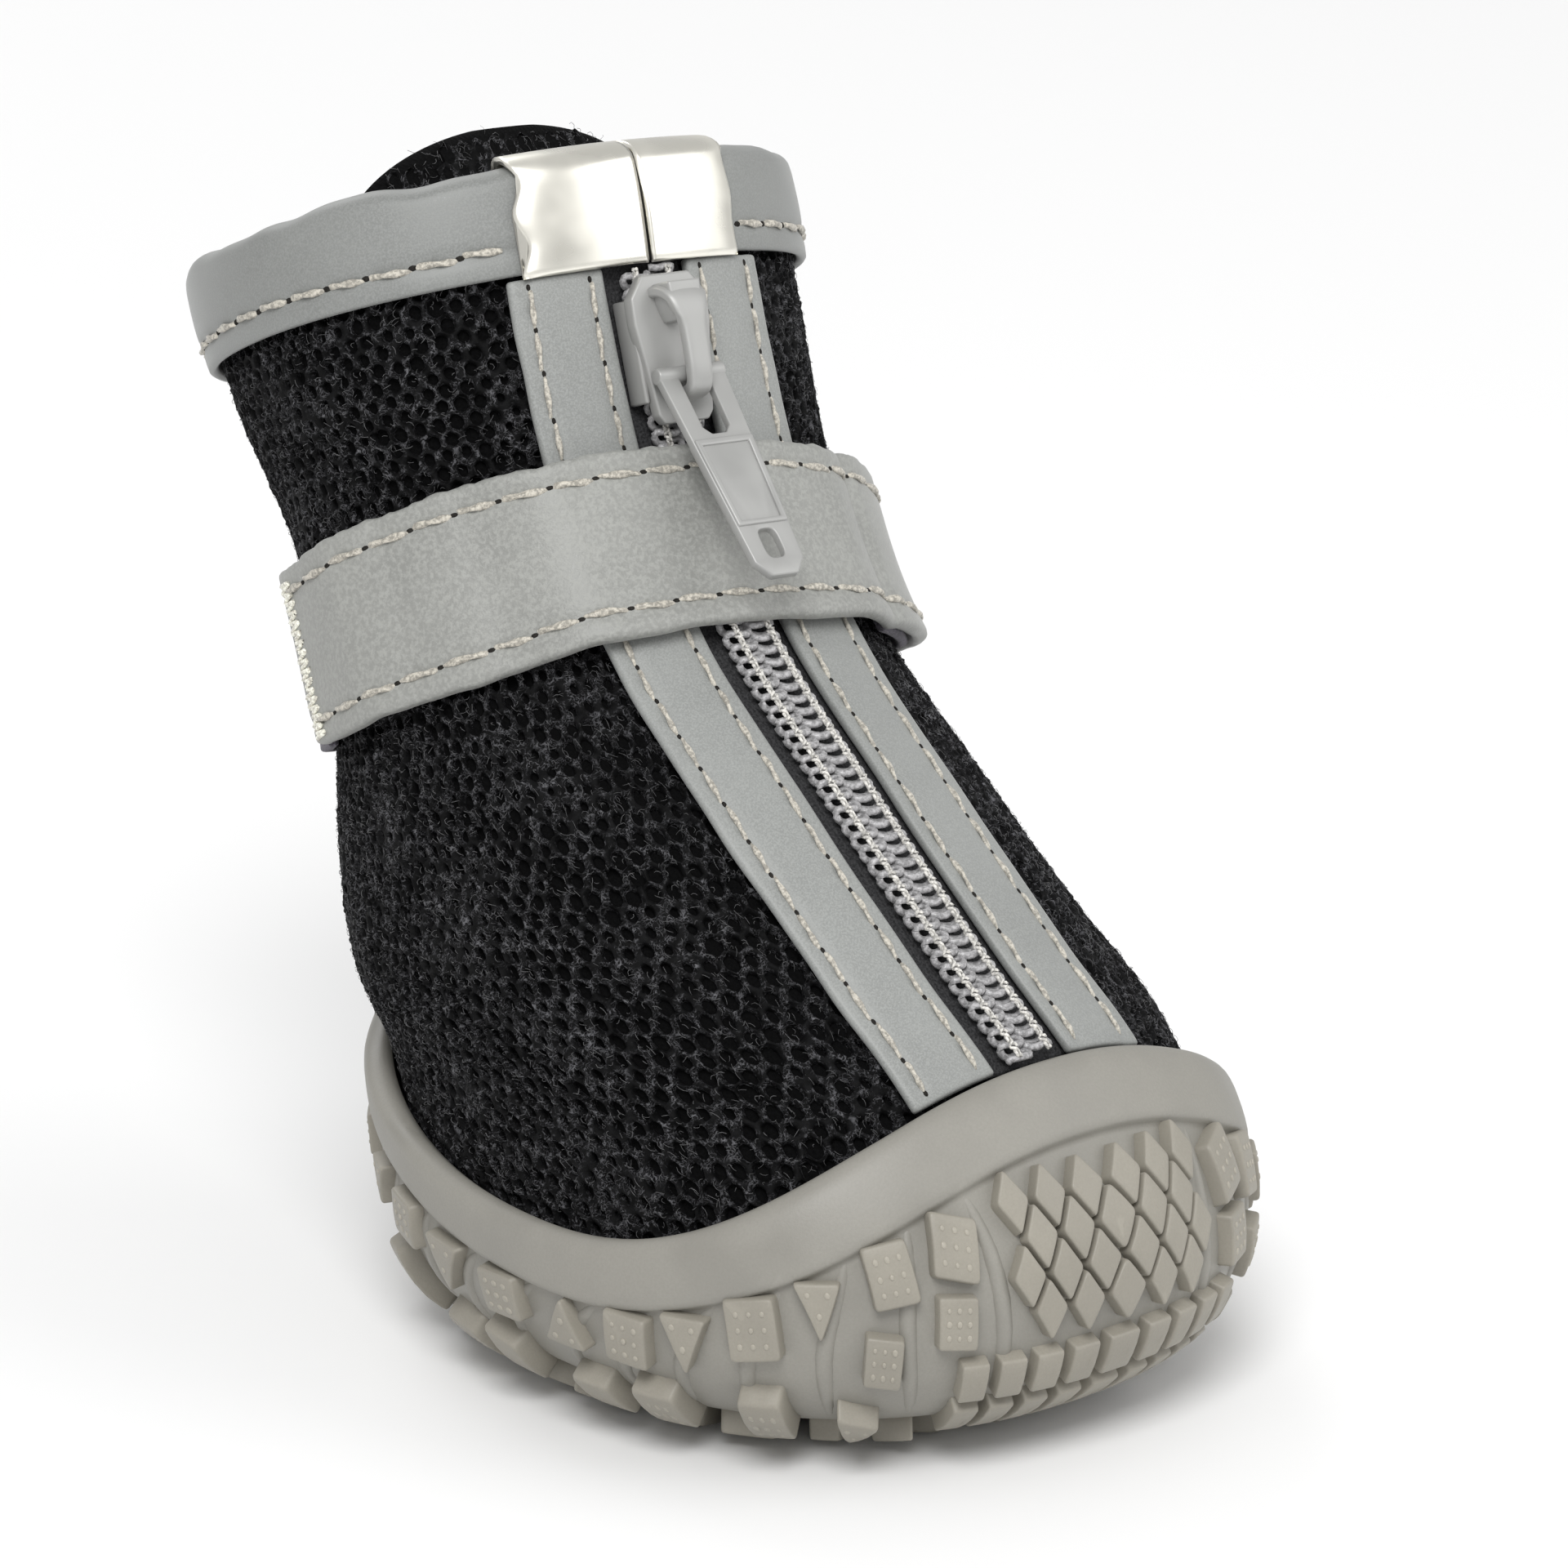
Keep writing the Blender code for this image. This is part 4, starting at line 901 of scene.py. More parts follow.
def round_outline(corners, radius, steps=3):
    """The outline with its corners rounded, and points along its sides."""
    count = len(corners)
    result = []
    for i in range(count):
        here = corners[i]
        before = corners[i - 1] - here
        after = corners[(i + 1) % count] - here
        length = min(np.linalg.norm(before), np.linalg.norm(after))
        reach = min(radius, length * 0.35)
        a = here + before / np.linalg.norm(before) * reach
        b = here + after / np.linalg.norm(after) * reach
        for s in np.linspace(0, 1, steps + 1):
            result.append((1 - s) ** 2 * a + 2 * s * (1 - s) * here + s * s * b)
        next_reach = min(radius, np.linalg.norm(after) * 0.35)
        c = corners[(i + 1) % count] - after / np.linalg.norm(after) * next_reach
        for s in (0.33, 0.67):
            result.append(b + (c - b) * s)
    return np.array(result)


class LugMoulds(PieceSet):
    """Rounded lugs."""

    def add(self, corners, place, root, top, taper=0.86, bevel=0.22 * MM):
        """One lug that narrows by taper up to its top. place(u, v, depth) gives points."""
        outline = round_outline(corners, np.abs(corners).max() * 0.16)
        u, v = outline.T
        size = np.linalg.norm(place(u, v, top) - place(0 * u, 0 * v, top), axis=-1).mean()
        inset = bevel / size
        levels = [(1.0, root), (1 - (1 - taper) * 0.5, (root + top) / 2), (taper + 0.02, top - bevel),
                  (taper, top - bevel * 0.55), (taper - inset * 0.35, top - bevel * 0.15),
                  (taper - inset, top), (taper * 0.72 - inset, top), (taper * 0.35, top)]
        rings = [place(u * share, v * share, depth) for share, depth in levels]
        columns = len(outline)
        self.points.append(np.array(rings).reshape(-1, 3))
        self.faces += grid_faces(len(levels), columns, self.count, wrap_columns=True).tolist()
        self.faces.append([self.count + j for j in range(columns)])
        self.faces.append([self.count + (len(levels) - 1) * columns + j for j in range(columns)])
        self.count += len(levels) * columns


def tread_moulds():
    """The lugs under the sole."""
    lugs = LugMoulds()
    top = SOLE_BASE + LUG_HEIGHT

    def add(kind, x, y, long, wide, turn, side=1):
        def place(u, v, depth):
            return sole_point(side * (x + u) * WIDTH, (y + v * LUG_ALONG) * LENGTH, depth)
        lugs.add(lug_outline(kind, long, wide, turn), place, LUG_ROOT, top)
    for kind, x, y, long, wide, turn in PAIR_LUGS:
        for side in (-1, 1):
            add(kind, x, y, long, wide, -turn, side)
    for kind, x, y, long, wide, turn in MIDDLE_LUGS:
        add(kind, x, y, long, wide, turn)
    for row in range(HEEL_PATCH_ROWS):
        for step in ((-1, 0, 1) if row % 2 else (-0.5, 0.5)):
            add("rhombus", step * HEEL_PATCH_SIDE, HEEL_PATCH_START + row * HEEL_PATCH_PITCH,
                HEEL_PATCH_PITCH * HEEL_RHOMBUS_LONG / LUG_ALONG, HEEL_PATCH_SIDE * HEEL_RHOMBUS_WIDE, 0)
    return lugs


def side_lugs():
    """Kind, angle, height, size and turn of each side block, on both sides."""
    for angle, drop, size, kind, turn in SIDE_LUGS:
        for side in (-1, 1):
            phi = side * math.radians(angle)
            height = float(last_surface(rim_way(phi), phi)[2]) - drop * MM
            yield kind, phi, height, size, side * turn


def wall_moulds():
    """Blocks of the side wall, the toe's rhombus field and the bars below it."""
    lugs = LugMoulds()
    top = SOLE_BASE + WALL_LUG_HEIGHT

    def add(kind, phi, height, long, wide, turn):
        def place(u, v, depth):
            return wall_point(phi, height, u, v, depth)
        lugs.add(lug_outline(kind, long, wide, turn), place, LUG_ROOT, top, bevel=0.2 * MM)
    for kind, phi, height, size, turn in side_lugs():
        add(kind, phi, height, size * SIDE_SCALE * MM, size * SIDE_SCALE * MM, turn)
    radius = np.linalg.norm(last_surface(AT["wall_low"], 0.0)[:2])
    for row in range(TOE_ROWS):
        height = RIM_TOE - TOE_FIELD_DROP - row * TOE_ROW_PITCH
        if height < TOE_FIELD_LOWEST:
            break
        count = TOE_COLUMNS - row % 2
        for column in range(count):
            phi = (column - (count - 1) / 2) * TOE_PITCH / radius
            add("rhombus", phi, height, TOE_RHOMBUS_TALL * TOE_SCALE, TOE_RHOMBUS_WIDE * TOE_SCALE, 0)
    for height in BAR_ROWS:
        for column in range(BAR_COUNT):
            phi = (column - (BAR_COUNT - 1) / 2) * BAR_PITCH / radius
            add("square", phi, height, BAR_TALL, BAR_WIDE, 0)
    return lugs


def cup_grid(columns):
    """Rows of the cup: floor, outer wall, rim bead, and back down inside."""
    phi = np.arange(columns) * 2 * math.pi / columns
    rim = rim_way(phi)
    rows = []
    wall_foot = rim - RIM_BAND - 0.35 * MM
    for share in (0.0, 0.35, 0.7, 1.0):
        rows.append(layer(share * AT["floor_edge"], phi, SOLE_BASE))
    for share in np.linspace(0, 1, 17)[1:]:
        rows.append(layer(AT["floor_edge"] + share * (wall_foot - AT["floor_edge"]), phi, SOLE_BASE))
    bead = ((4.50, 1.74), (4.36, 1.95), (4.28, 2.25), (4.12, 2.44), (3.8, 2.5), (3.2, 2.52), (2.6, 2.52),
            (2.0, 2.5), (1.5, 2.48), (1.05, 2.42), (0.7, 2.32), (0.4, 2.15), (0.15, 1.9), (0.0, 1.6),
            (-0.04, 1.3), (0.0, 1.0), (0.15, 0.75))
    for drop, depth in bead:
        rows.append(layer(rim - drop * MM, phi, depth * MM))
    rows.append(layer(rim - 0.6 * MM, phi, CLEAR))
    for share in (1.0, 0.8, 0.6, 0.4, 0.2, 0.0):
        rows.append(layer(upper_foot() + share * (rim - 1.2 * MM - upper_foot()), phi, CLEAR))
    for share in (1.0, 0.5, 0.0):
        rows.append(layer(share * AT["floor_edge"], phi, CLEAR))
    return np.array(rows)


def dot_places(kind, size):
    """Places of the dots on a lug's top, in the lug's own unit."""
    if kind == "square":
        return [(u * size, v * size) for u in (-0.25, 0, 0.25) for v in (-0.25, 0, 0.25)]
    return [(-0.2 * size, -0.2 * size), (0.2 * size, -0.2 * size), (0.0, 0.14 * size)]


def sole_dots():
    """Low round dots on the side blocks and on the tread's larger lugs."""
    dots = ThreadSet()
    rng = np.random.default_rng(SEED + 12)
    around = np.linspace(0, 2 * math.pi, 8, endpoint=False)

    def add(place, kind, size, turn, depth):
        for u, v in dot_places(kind, size):
            u, v = turned(u, v, turn)
            radius = rng.uniform(0.17, 0.25) * MM
            dots.add(np.array([place(u + radius * share * np.cos(around), v + radius * share * np.sin(around),
                                     depth + rise * MM)
                               for share, rise in ((1.0, -0.06), (0.85, 0.03), (0.5, 0.07))])[None])
    for kind, phi, height, size, turn in side_lugs():
        add(lambda u, v, depth: wall_point(phi, height, u, v, depth), kind, size * MM, turn,
            SOLE_BASE + WALL_LUG_HEIGHT)
    large = [lug for lug in PAIR_LUGS if lug[0] != "leaf" and lug[4] >= DOT_LUG_WIDE]
    for kind, x, y, long, wide, turn in large:
        for side in (-1, 1):
            add(lambda u, v, depth: sole_point(side * (x * WIDTH + u), y * LENGTH + v, depth), kind,
                min(long, wide) * WIDTH * 0.9, -turn, SOLE_BASE + LUG_HEIGHT - 0.04 * MM)
    return dots


# Thin ridges of the side wall: start and end angle from the toe, and how far each bows, in degrees
WALL_RIDGES = (
    (21, 19, -1.5), (30.5, 31, 2.5), (40.5, 44, 3.5), (51, 56, 4.0), (61.5, 67, 4.0), (71.5, 77, 4.0),
    (81.5, 86, 3.5), (91.5, 95, 3.0), (101.5, 104, 3.0), (113, 115, 2.5), (124, 125, 2.0), (135, 135, 1.5),
    (148, 147, -1.5), (160, 158, -2.0),
)


def wall_ridges(material):
    """Curved ridges that run from the rim's band down to the tread's edge."""
    ridges = ThreadSet()
    share = np.linspace(0, 1, 16)
    for start, end, bow in WALL_RIDGES:
        for side in (-1, 1):
            phi = side * np.radians(start + (end - start) * share + bow * np.sin(share * math.pi))
            top = last_surface(rim_way(phi), phi)[:, 2] - RIM_BAND
            height = top + (5.2 * MM - top) * share
            radius = 0.75 * MM * np.sin(np.clip(share, 0.02, 0.98) * math.pi) ** 0.3
            ridges.cord(layer(way_at_height(phi, height), phi, SOLE_BASE - 0.42 * MM), radius, columns=12)
    return ridges.build("sole_wall_ridges", material)


class RubberSettings(bpy.types.PropertyGroup):
    colour: colour_setting("Colour", "Colour of the sole's rubber", (0.262, 0.252, 0.224))
    # The lugs' paler colour is painted light: raised tops lit, the cup's rubber between them darker as their
    # shade.
    lugs: colour_setting("Lugs", "Colour of the lugs, painted paler for the light on their tops", (0.285, 0.266, 0.224))
    columns: IntProperty(name="Columns", description="Points round the cup", default=288)


class BOOT_OT_outsole(bpy.types.Operator):
    """Rubber cup with its rim, side blocks and tread"""
    bl_idname = "boot.outsole"
    bl_label = "Outsole"

    def execute(self, context):
        settings = context.scene.boot_rubber
        rubber = rubber_finish(settings.colour)
        cup = tube_loft("sole_cup", cup_grid(settings.columns), rubber)
        settle(cup, "boot", "sole_rubber", "outsole")
        # The lugs' rubber is a paler copy of the cup's: painted light on the raised tops against the shaded
        # hollows.
        painted_pale = rubber_finish(settings.lugs, "Lug rubber painted light")
        for name, lugs in (("sole_tread_lugs", tread_moulds()), ("sole_wall_lugs", wall_moulds())):
            settle(lugs.build(name, painted_pale), "boot", "sole_rubber", "outsole")
        settle(wall_ridges(rubber), "boot", "sole_rubber")
        # The dots' rubber is paler again: painted highlight on their small domes.
        pale = rubber_finish(tint(settings.lugs, 1.2), "Dot rubber painted light")
        settle(sole_dots().build("sole_dots", pale), "boot", "sole_rubber")
        return {"FINISHED"}


class BOOT_OT_insole(bpy.types.Operator):
    """Fabric board on the cup's floor"""
    bl_idname = "boot.insole"
    bl_label = "Insole"

    def execute(self, context):
        phi = np.arange(96) * 2 * math.pi / 96
        foot = upper_foot() - CLEAR
        ways = np.linspace(0.0, foot, 10)
        rows = [layer(t, phi, 0.0) for t in ways]
        rows += [layer(foot, phi, -0.5 * MM), layer(foot, phi, -WALL + 0.4 * MM)]
        rows += [layer(t - (0.3 * MM if t > 0 else 0), phi, -WALL + 0.08 * MM * math.sin(k * 1.9))
                 for k, t in enumerate(ways[::-1])]
        made = tube_loft("insole_board", np.array(rows), lining_finish("Insole fabric", (0.03, 0.03, 0.031)))
        settle(made, "boot", "insole_fabric", "insole")
        return {"FINISHED"}


# Upper and tongue


def turn_table(ways, samples=900):
    """Angles by share of each section's girth, for each way: rows of (share, angle)."""
    phi = np.linspace(0, 2 * math.pi, samples + 1)
    points = last_surface(ways[:, None], phi[None, :])
    steps = np.linalg.norm(np.diff(points, axis=1), axis=-1)
    girth = np.concatenate([np.zeros((len(ways), 1)), np.cumsum(steps, axis=1)], axis=1)
    return phi, girth / girth[:, -1:]


class GirthMap:
    """Turns (t, share of girth) into (t, phi)."""

    def __init__(self, low, high, count=60):
        self.ways = np.linspace(low, high, count)
        phi, shares = turn_table(self.ways)
        self.grid = np.linspace(0, 1, 721)
        self.angles = np.array([np.interp(self.grid, row, phi) for row in shares])

    def phi(self, t, share):
        share = np.asarray(share) % 1.0
        row = np.clip((t - self.ways[0]) / (self.ways[1] - self.ways[0]), 0, len(self.ways) - 1.001)
        column = share * (len(self.grid) - 1)
        i = row.astype(int)
        j = np.minimum(column.astype(int), len(self.grid) - 2)
        a = row - i
        b = column - j
        grid = self.angles
        return ((1 - a) * (1 - b) * grid[i, j] + (1 - a) * b * grid[i, j + 1]
                + a * (1 - b) * grid[i + 1, j] + a * b * grid[i + 1, j + 1])


FOOT_FIBRES = 2900
SHAFT_FIBRES = 2000
TONGUE_FIBRES = 700
HEX = [(math.sin(math.radians(a)), math.cos(math.radians(a))) for a in range(0, 360, 60)]


def hex_border():
    """Twelve points on a unit hexagon's border, corners and middles of its sides."""
    corners = np.array(HEX) / math.sqrt(3)
    result = []
    for i in range(6):
        result.append(corners[i])
        result.append((corners[i] + corners[(i + 1) % 6]) / 2)
    return np.array(result)


def net_mesh(name, centres, place, seed, material, drop=0.75 * MM, crest=0.0):
    """A net of rounded strands round six-sided holes. centres are cell places in units of one cell,
    and place(u, v, depth) gives points."""
    rng = np.random.default_rng(SEED + seed)
    border = hex_border()
    cells = len(centres)
    u, v = centres[:, 0], centres[:, 1]
    wave = np.sin(u * 0.55 + 1.3 * np.sin(v * 0.31 + seed)) * np.sin(v * 0.47 + 0.9 * np.sin(u * 0.23 + seed))
    dense = np.clip((wave + rng.normal(0, 0.22, cells) - 0.25) * 2.5, 0, 1)
    size = (rng.normal(1.07, 0.12, cells) * (1 - 0.32 * dense))[:, None, None]
    shift = rng.normal(0, 0.055, (cells, 1, 2))
    rings = [centres[:, None, :] + border[None, :, :]]
    round_border = unit(border) * 0.5
    for share, blend in ((0.80, 0.3), (0.66, 0.55), (0.60, 0.75)):
        shape = border * (1 - blend) + round_border * blend
        shape = shape * np.array([0.93, 1.10])
        middles = centres[:, None, :] + shift * (1 - (share - 0.6) * 3)
        rings.append(middles + shape[None] * share * size)
    flat = np.stack(rings, 1)
    keys = np.round(flat[:, 0] * 1000).astype(np.int64).reshape(-1, 2)
    unique, index = np.unique(keys, axis=0, return_inverse=True)
    index = index.reshape(cells, 12)
    shared = unique / 1000.0 + rng.normal(0, 0.04, (len(unique), 2))
    shared_depth = crest + rng.normal(0, 0.05, len(unique)) * MM
    inner = flat[:, 1:].reshape(-1, 2)
    levels = np.array([-0.06, -0.26, -drop / MM]) * MM + crest
    inner_depth = np.broadcast_to(levels[None, :, None], (cells, 3, 12)).reshape(-1)
    uv = np.concatenate([shared, inner])
    depth = np.concatenate([shared_depth, inner_depth])
    points = place(uv[:, 0], uv[:, 1], depth)
    first = len(shared) + np.arange(cells)[:, None] * 36 + np.arange(12)[None, :]
    bands = [index, first, first + 12, first + 24]
    faces = []
    for low, high in zip(bands[:-1], bands[1:]):
        faces.append(np.stack([low, np.roll(low, -1, 1), np.roll(high, -1, 1), high], -1).reshape(-1, 4))
    return mesh_object(name, points, np.concatenate(faces), material)


def fuzz(name, count, spot, seed, material, skin):
    """Short curled fibres lying on a surface. spot(rng, count) gives their places as t and phi,
    and skin(t, phi, depth) gives points."""
    rng = np.random.default_rng(SEED + seed)
    t, phi = spot(rng, count)
    count = len(t)
    step = 0.01
    girth = np.linalg.norm(last_surface(t, phi + step) - last_surface(t, phi - step), axis=-1) / (2 * step)
    share = np.linspace(0, 1, 4)
    turn = rng.uniform(0, 2 * math.pi, count)[:, None] + rng.normal(0, 1.6, count)[:, None] * (share - 0.5)
    pace = rng.uniform(0.08, 0.26, count)[:, None] * MM
    ahead = np.cumsum(np.sin(turn) * pace, axis=1)
    aside = np.cumsum(np.cos(turn) * pace, axis=1)
    lift = rng.uniform(0.06, 0.24, count)[:, None] * MM
    depth = -0.05 * MM + lift * np.sin(share * math.pi)
    points = skin(t[:, None] + ahead, phi[:, None] + aside / girth[:, None], depth)
    tangent = unit(np.gradient(points, axis=1))
    side = unit(np.cross(tangent, outward(t, phi)[:, None, :]), 1e-9)
    lifted = np.cross(side, tangent)
    angle = np.radians((90, 210, 330))
    radius = rng.uniform(0.012, 0.022, count)[:, None, None, None] * MM
    rings = points[:, :, None, :] + radius * (lifted[:, :, None, :] * np.sin(angle)[:, None]
                                              + side[:, :, None, :] * np.cos(angle)[:, None])
    threads = ThreadSet()
    threads.add(rings)
    return threads.build(name, material)


def cell_grid(columns, rows):
    """Centres of a hexagon lattice."""
    v = np.arange(rows)
    u = np.arange(columns)
    u, v = np.meshgrid(u, v)
    centres = np.stack([u + 0.5 * (v % 2), v * math.sqrt(3) / 2], -1)
    return centres.reshape(-1, 2).astype(float)


def upper_net(name, low, high, columns, keep, seed, material):
    """A net on the last between two ways, with the same count of cells round each row."""
    girth = GirthMap(low - 3 * MM, high + 3 * MM)
    middle = (low + high) / 2
    points = last_surface(middle, np.linspace(0, 2 * math.pi, 400))
    cell = np.linalg.norm(np.diff(points, axis=0), axis=-1).sum() / columns
    row_step = cell * 0.98
    rows = int((high - low) / (row_step * math.sqrt(3) / 2)) + 2
    centres = cell_grid(columns, rows)

    def place(u, v, depth):
        t = low + v * row_step
        return layer(t, girth.phi(t, u / columns), depth)
    t = low + centres[:, 1] * row_step
    phi = girth.phi(t, centres[:, 0] / columns)
    chosen = centres[keep(t, centred(phi))]
    # the net's seam is at the front, under the tapes, so no cell has to join across it
    return net_mesh(name, chosen, place, seed, material)


def across_of(t, phi):
    """Distance from the centre line, on the front half; large behind."""
    v = section_at(t)
    reach = v["half"] * np.abs(np.sin(phi)) ** (2 / v["power"])
    return np.where(np.cos(phi) > 0, reach, 1.0)


def lining_mesh(material):
    """The dark padded wall behind the net, open at the front above the zip's foot."""
    columns = 120
    foot = upper_foot()
    start = zip_foot() + 1.0 * MM
    top = AT["collar"] - 0.1 * MM
    closed_rows = 12
    ways = np.concatenate([np.linspace(foot, start, closed_rows), np.linspace(start + 0.8 * MM, top, 44)])
    share = np.linspace(0, 1, columns + 1)
    half = np.where(ways <= start, 0.0, SLOT_HALF)
    begin = phi_of(ways, np.maximum(half, 1e-9))
    begin = np.where(half == 0, 0.0, begin)
    phi = begin[:, None] + (2 * math.pi - 2 * begin[:, None]) * share[None, :]
    puff = 0.12 * MM * np.sin(ways[:, None] * 900) * np.sin(phi * 9)
    outer = layer(ways[:, None], phi, -0.72 * MM)
    inner = layer(ways[:, None], phi, -WALL + puff)
    rows = len(ways)
    wide = columns + 1
    faces = grid_faces(rows, wide).tolist()
    faces += grid_faces(rows, wide, rows * wide)[:, ::-1].tolist()
    second = rows * wide
    for i in (0, rows - 1):
        for j in range(columns):
            a = i * wide + j
            faces.append([a, a + 1, second + a + 1, second + a])
    for i in range(closed_rows - 1, rows - 1):
        for j in (0, columns):
            a = i * wide + j
            b = (i + 1) * wide + j
            faces.append([a, b, second + b, second + a])
    points = np.concatenate([outer.reshape(-1, 3), inner.reshape(-1, 3)])
    return face_out(mesh_object("upper_lining", points, faces, material), merge=0.005 * MM)


def tongue_half(t):
    """Half width of the tongue at a way."""
    over = np.clip((t - TONGUE_TOP + TONGUE_ROUND) / TONGUE_ROUND, 0, 1)
    return TONGUE_HALF * np.sqrt(np.maximum(0.0, 1 - over * over))


def tongue_layer(t, phi, depth):
    """Points at a depth outside the last, which lean back above the ankle as the tongue does."""
    start = AT["ankle"] + 0.8 * (AT["shaft"] - AT["ankle"])
    points = layer(t, phi, depth)
    points[..., 1] += TONGUE_LEAN * np.clip((t - start) / (TONGUE_TOP - start), 0, None) ** 1.3
    return points


def tongue_point(t, across, depth):
    """Points of the tongue beside its centre line."""
    return tongue_layer(t, phi_of(t, across), depth)


def tongue_mesh(material):
    """The padded flap, with a soft rounded edge."""
    round_start = TONGUE_TOP - TONGUE_ROUND
    foot = zip_foot() + TONGUE_FOOT
    bend = (TONGUE_ROUND - 0.1 * MM) * np.sin(np.radians(np.linspace(4, 88, 22)))
    ways = np.concatenate([np.linspace(foot, round_start, 30), round_start + bend])
    outer = -WALL - CLEAR
    loop = rounded_loop(-1.0, 1.0, -1.0, 1.0, 0.9, across=16, arc=5)
    grid = []
    for t in ways:
        half = max(0.6 * MM, float(tongue_half(t)))
        near = min(1.0, (TONGUE_TOP - t) / (1.2 * MM))
        thick = TONGUE_THICK / 2 * (0.45 + 0.55 * math.sqrt(max(0.0, near)))
        edge = np.clip((1 - np.abs(loop[:, 0])) * half / (1.3 * MM), 0, 1)
        side = loop[:, 0] * half
        depth = outer - TONGUE_THICK / 2 + loop[:, 1] * thick * (0.35 + 0.65 * np.sqrt(edge))
        grid.append(tongue_point(t + 0 * side, side, depth))
    return tube_loft("tongue_pad", np.array(grid), material)


class MeshSettings(bpy.types.PropertyGroup):
    colour: colour_setting("Colour", "Colour of the net's threads", (0.0060, 0.0060, 0.0064))
    # The loose hairs' pale colour is a painted glint: it stands for light caught by black fibres.
    fibres: colour_setting("Fibres", "Colour of the loose shiny fibres", (0.095, 0.095, 0.098))
    foot_cells: IntProperty(name="Foot cells", description="Net cells round the foot", default=106)
    shaft_cells: IntProperty(name="Shaft cells", description="Net cells round the shaft", default=86)


class BOOT_OT_upper(bpy.types.Operator):
    """Black net over a dark lining, and the tongue"""
    bl_idname = "boot.upper"
    bl_label = "Upper and tongue"

    def execute(self, context):
        settings = context.scene.boot_mesh
        net = mesh_finish(settings.colour)
        # The lining is painted at half the net's colour as painted shade in the net's holes; the tongue pad
        # made of it is dark the same way.
        lining = lining_finish("Lining painted as hole shade", tint(settings.colour, 0.5))
        settle(lining_mesh(lining), "boot", "black_mesh", "upper")
        low = AT["wall_high"] - 3 * MM
        strap_line = AT["ankle"] + 6.5 * MM
        slot = SLOT_HALF + 1.2 * MM

        def foot_side(side):
            def keep(t, phi):
                return ((np.sign(phi) == side) & (across_of(t, phi) > slot) & (t > rim_way(phi) - 1.6 * MM)
                        & (t < strap_line + 1.5 * MM))
            return keep

        def shaft(t, phi):
            return (across_of(t, phi) > slot) & (t < AT["collar"] - 2.4 * MM)
        for name, side in (("upper_net_left", -1), ("upper_net_right", 1)):
            made = upper_net(name, low, strap_line, settings.foot_cells, foot_side(side), 11 + side, net)
            settle(made, "boot", "black_mesh", "upper")
        made = upper_net("upper_net_shaft", strap_line, AT["collar"], settings.shaft_cells, shaft, 15, net)
        settle(made, "boot", "black_mesh", "upper")
        settle(tongue_mesh(lining), "boot", "black_mesh", "tongue")
        cell = 1.35 * MM
        start = AT["collar"] - 14 * MM
        rows = int((TONGUE_TOP - start) / (cell * math.sqrt(3) / 2)) + 1
        columns = int(2 * TONGUE_HALF / cell) + 2
        centres = cell_grid(columns, rows)
        centres[:, 0] -= columns / 2

        def place(u, v, depth):
            return tongue_point(start + v * cell, u * cell, depth)
        reach = tongue_half(start + centres[:, 1] * cell + 0.7 * MM)
        inside = np.abs(centres[:, 0]) * cell < reach - 0.4 * MM
        made = net_mesh("tongue_net", centres[inside], place, 19, net, drop=0.35 * MM,
                        crest=-WALL - CLEAR + 0.05 * MM)
        settle(made, "boot", "black_mesh", "tongue")

        def on_tongue(rng, count):
            t = rng.uniform(start, TONGUE_TOP - 0.5 * MM, count)
            return t, phi_of(t, rng.uniform(-1, 1, count) * (tongue_half(t) - 0.8 * MM))

        def tongue_skin(t, phi, depth):
            return tongue_layer(t, phi, depth - WALL - CLEAR)
        # Hairs coloured pale as painted glints on the black net.
        hair = thread_finish("Mesh fibre glints", settings.fibres)
        made = fuzz("tongue_fibres", TONGUE_FIBRES, on_tongue, 33, hair, tongue_skin)
        settle(made, "boot", "black_mesh", "tongue")

        def on_upper(low, high, side):
            def spot(rng, count):
                t = rng.uniform(low, high, 3 * count)
                phi = rng.uniform(-math.pi, math.pi, 3 * count)
                kept = (across_of(t, phi) > slot) & (t > rim_way(phi) + 0.3 * MM)
                if side:
                    kept &= np.sign(phi) == side
                return t[kept][:count], phi[kept][:count]
            return spot
        for name, count, low_way, high_way, side in (
                ("upper_fibres_left", FOOT_FIBRES, low, strap_line, -1),
                ("upper_fibres_right", FOOT_FIBRES, low, strap_line, 1),
                ("upper_fibres_shaft", SHAFT_FIBRES, strap_line, AT["collar"] - 6 * MM, 0)):
            made = fuzz(name, count, on_upper(low_way, high_way, side), 40 + side, hair, layer)
            settle(made, "boot", "black_mesh", "upper")
        return {"FINISHED"}


# Tapes, binding, strap


THIN_THREAD = 0.17 * MM
THICK_THREAD = 0.22 * MM
TAPE_SEAMS = (TAPE_INNER + 1.15 * MM, TAPE_OUTER - 1.3 * MM)
BINDING_SEAM = 1.9 * MM
STRAP_SEAM = 1.8 * MM
STRAP_STITCH = 3.45 * MM
TIP_STITCH = 3.3 * MM
OVERLOCK_WIDE = 0.085
OVERLOCK_THREAD = 0.18 * MM


def tape_line(share, across):
    """Way along the last and angle of an edge tape, by the share along it and distance from the centre."""
    start = rim_way(phi_of(AT["rim"], across)) + CLEAR
    t = start + (binding_foot() - CLEAR - start) * share
    return t, phi_of(t, across)


def groove(side, seams, depth=0.13 * MM, wide=0.42 * MM):
    """How far a row of stitches pulls the cloth in, beside each seam."""
    return sum(depth * np.exp(-((side - seam) / wide) ** 2) for seam in seams)


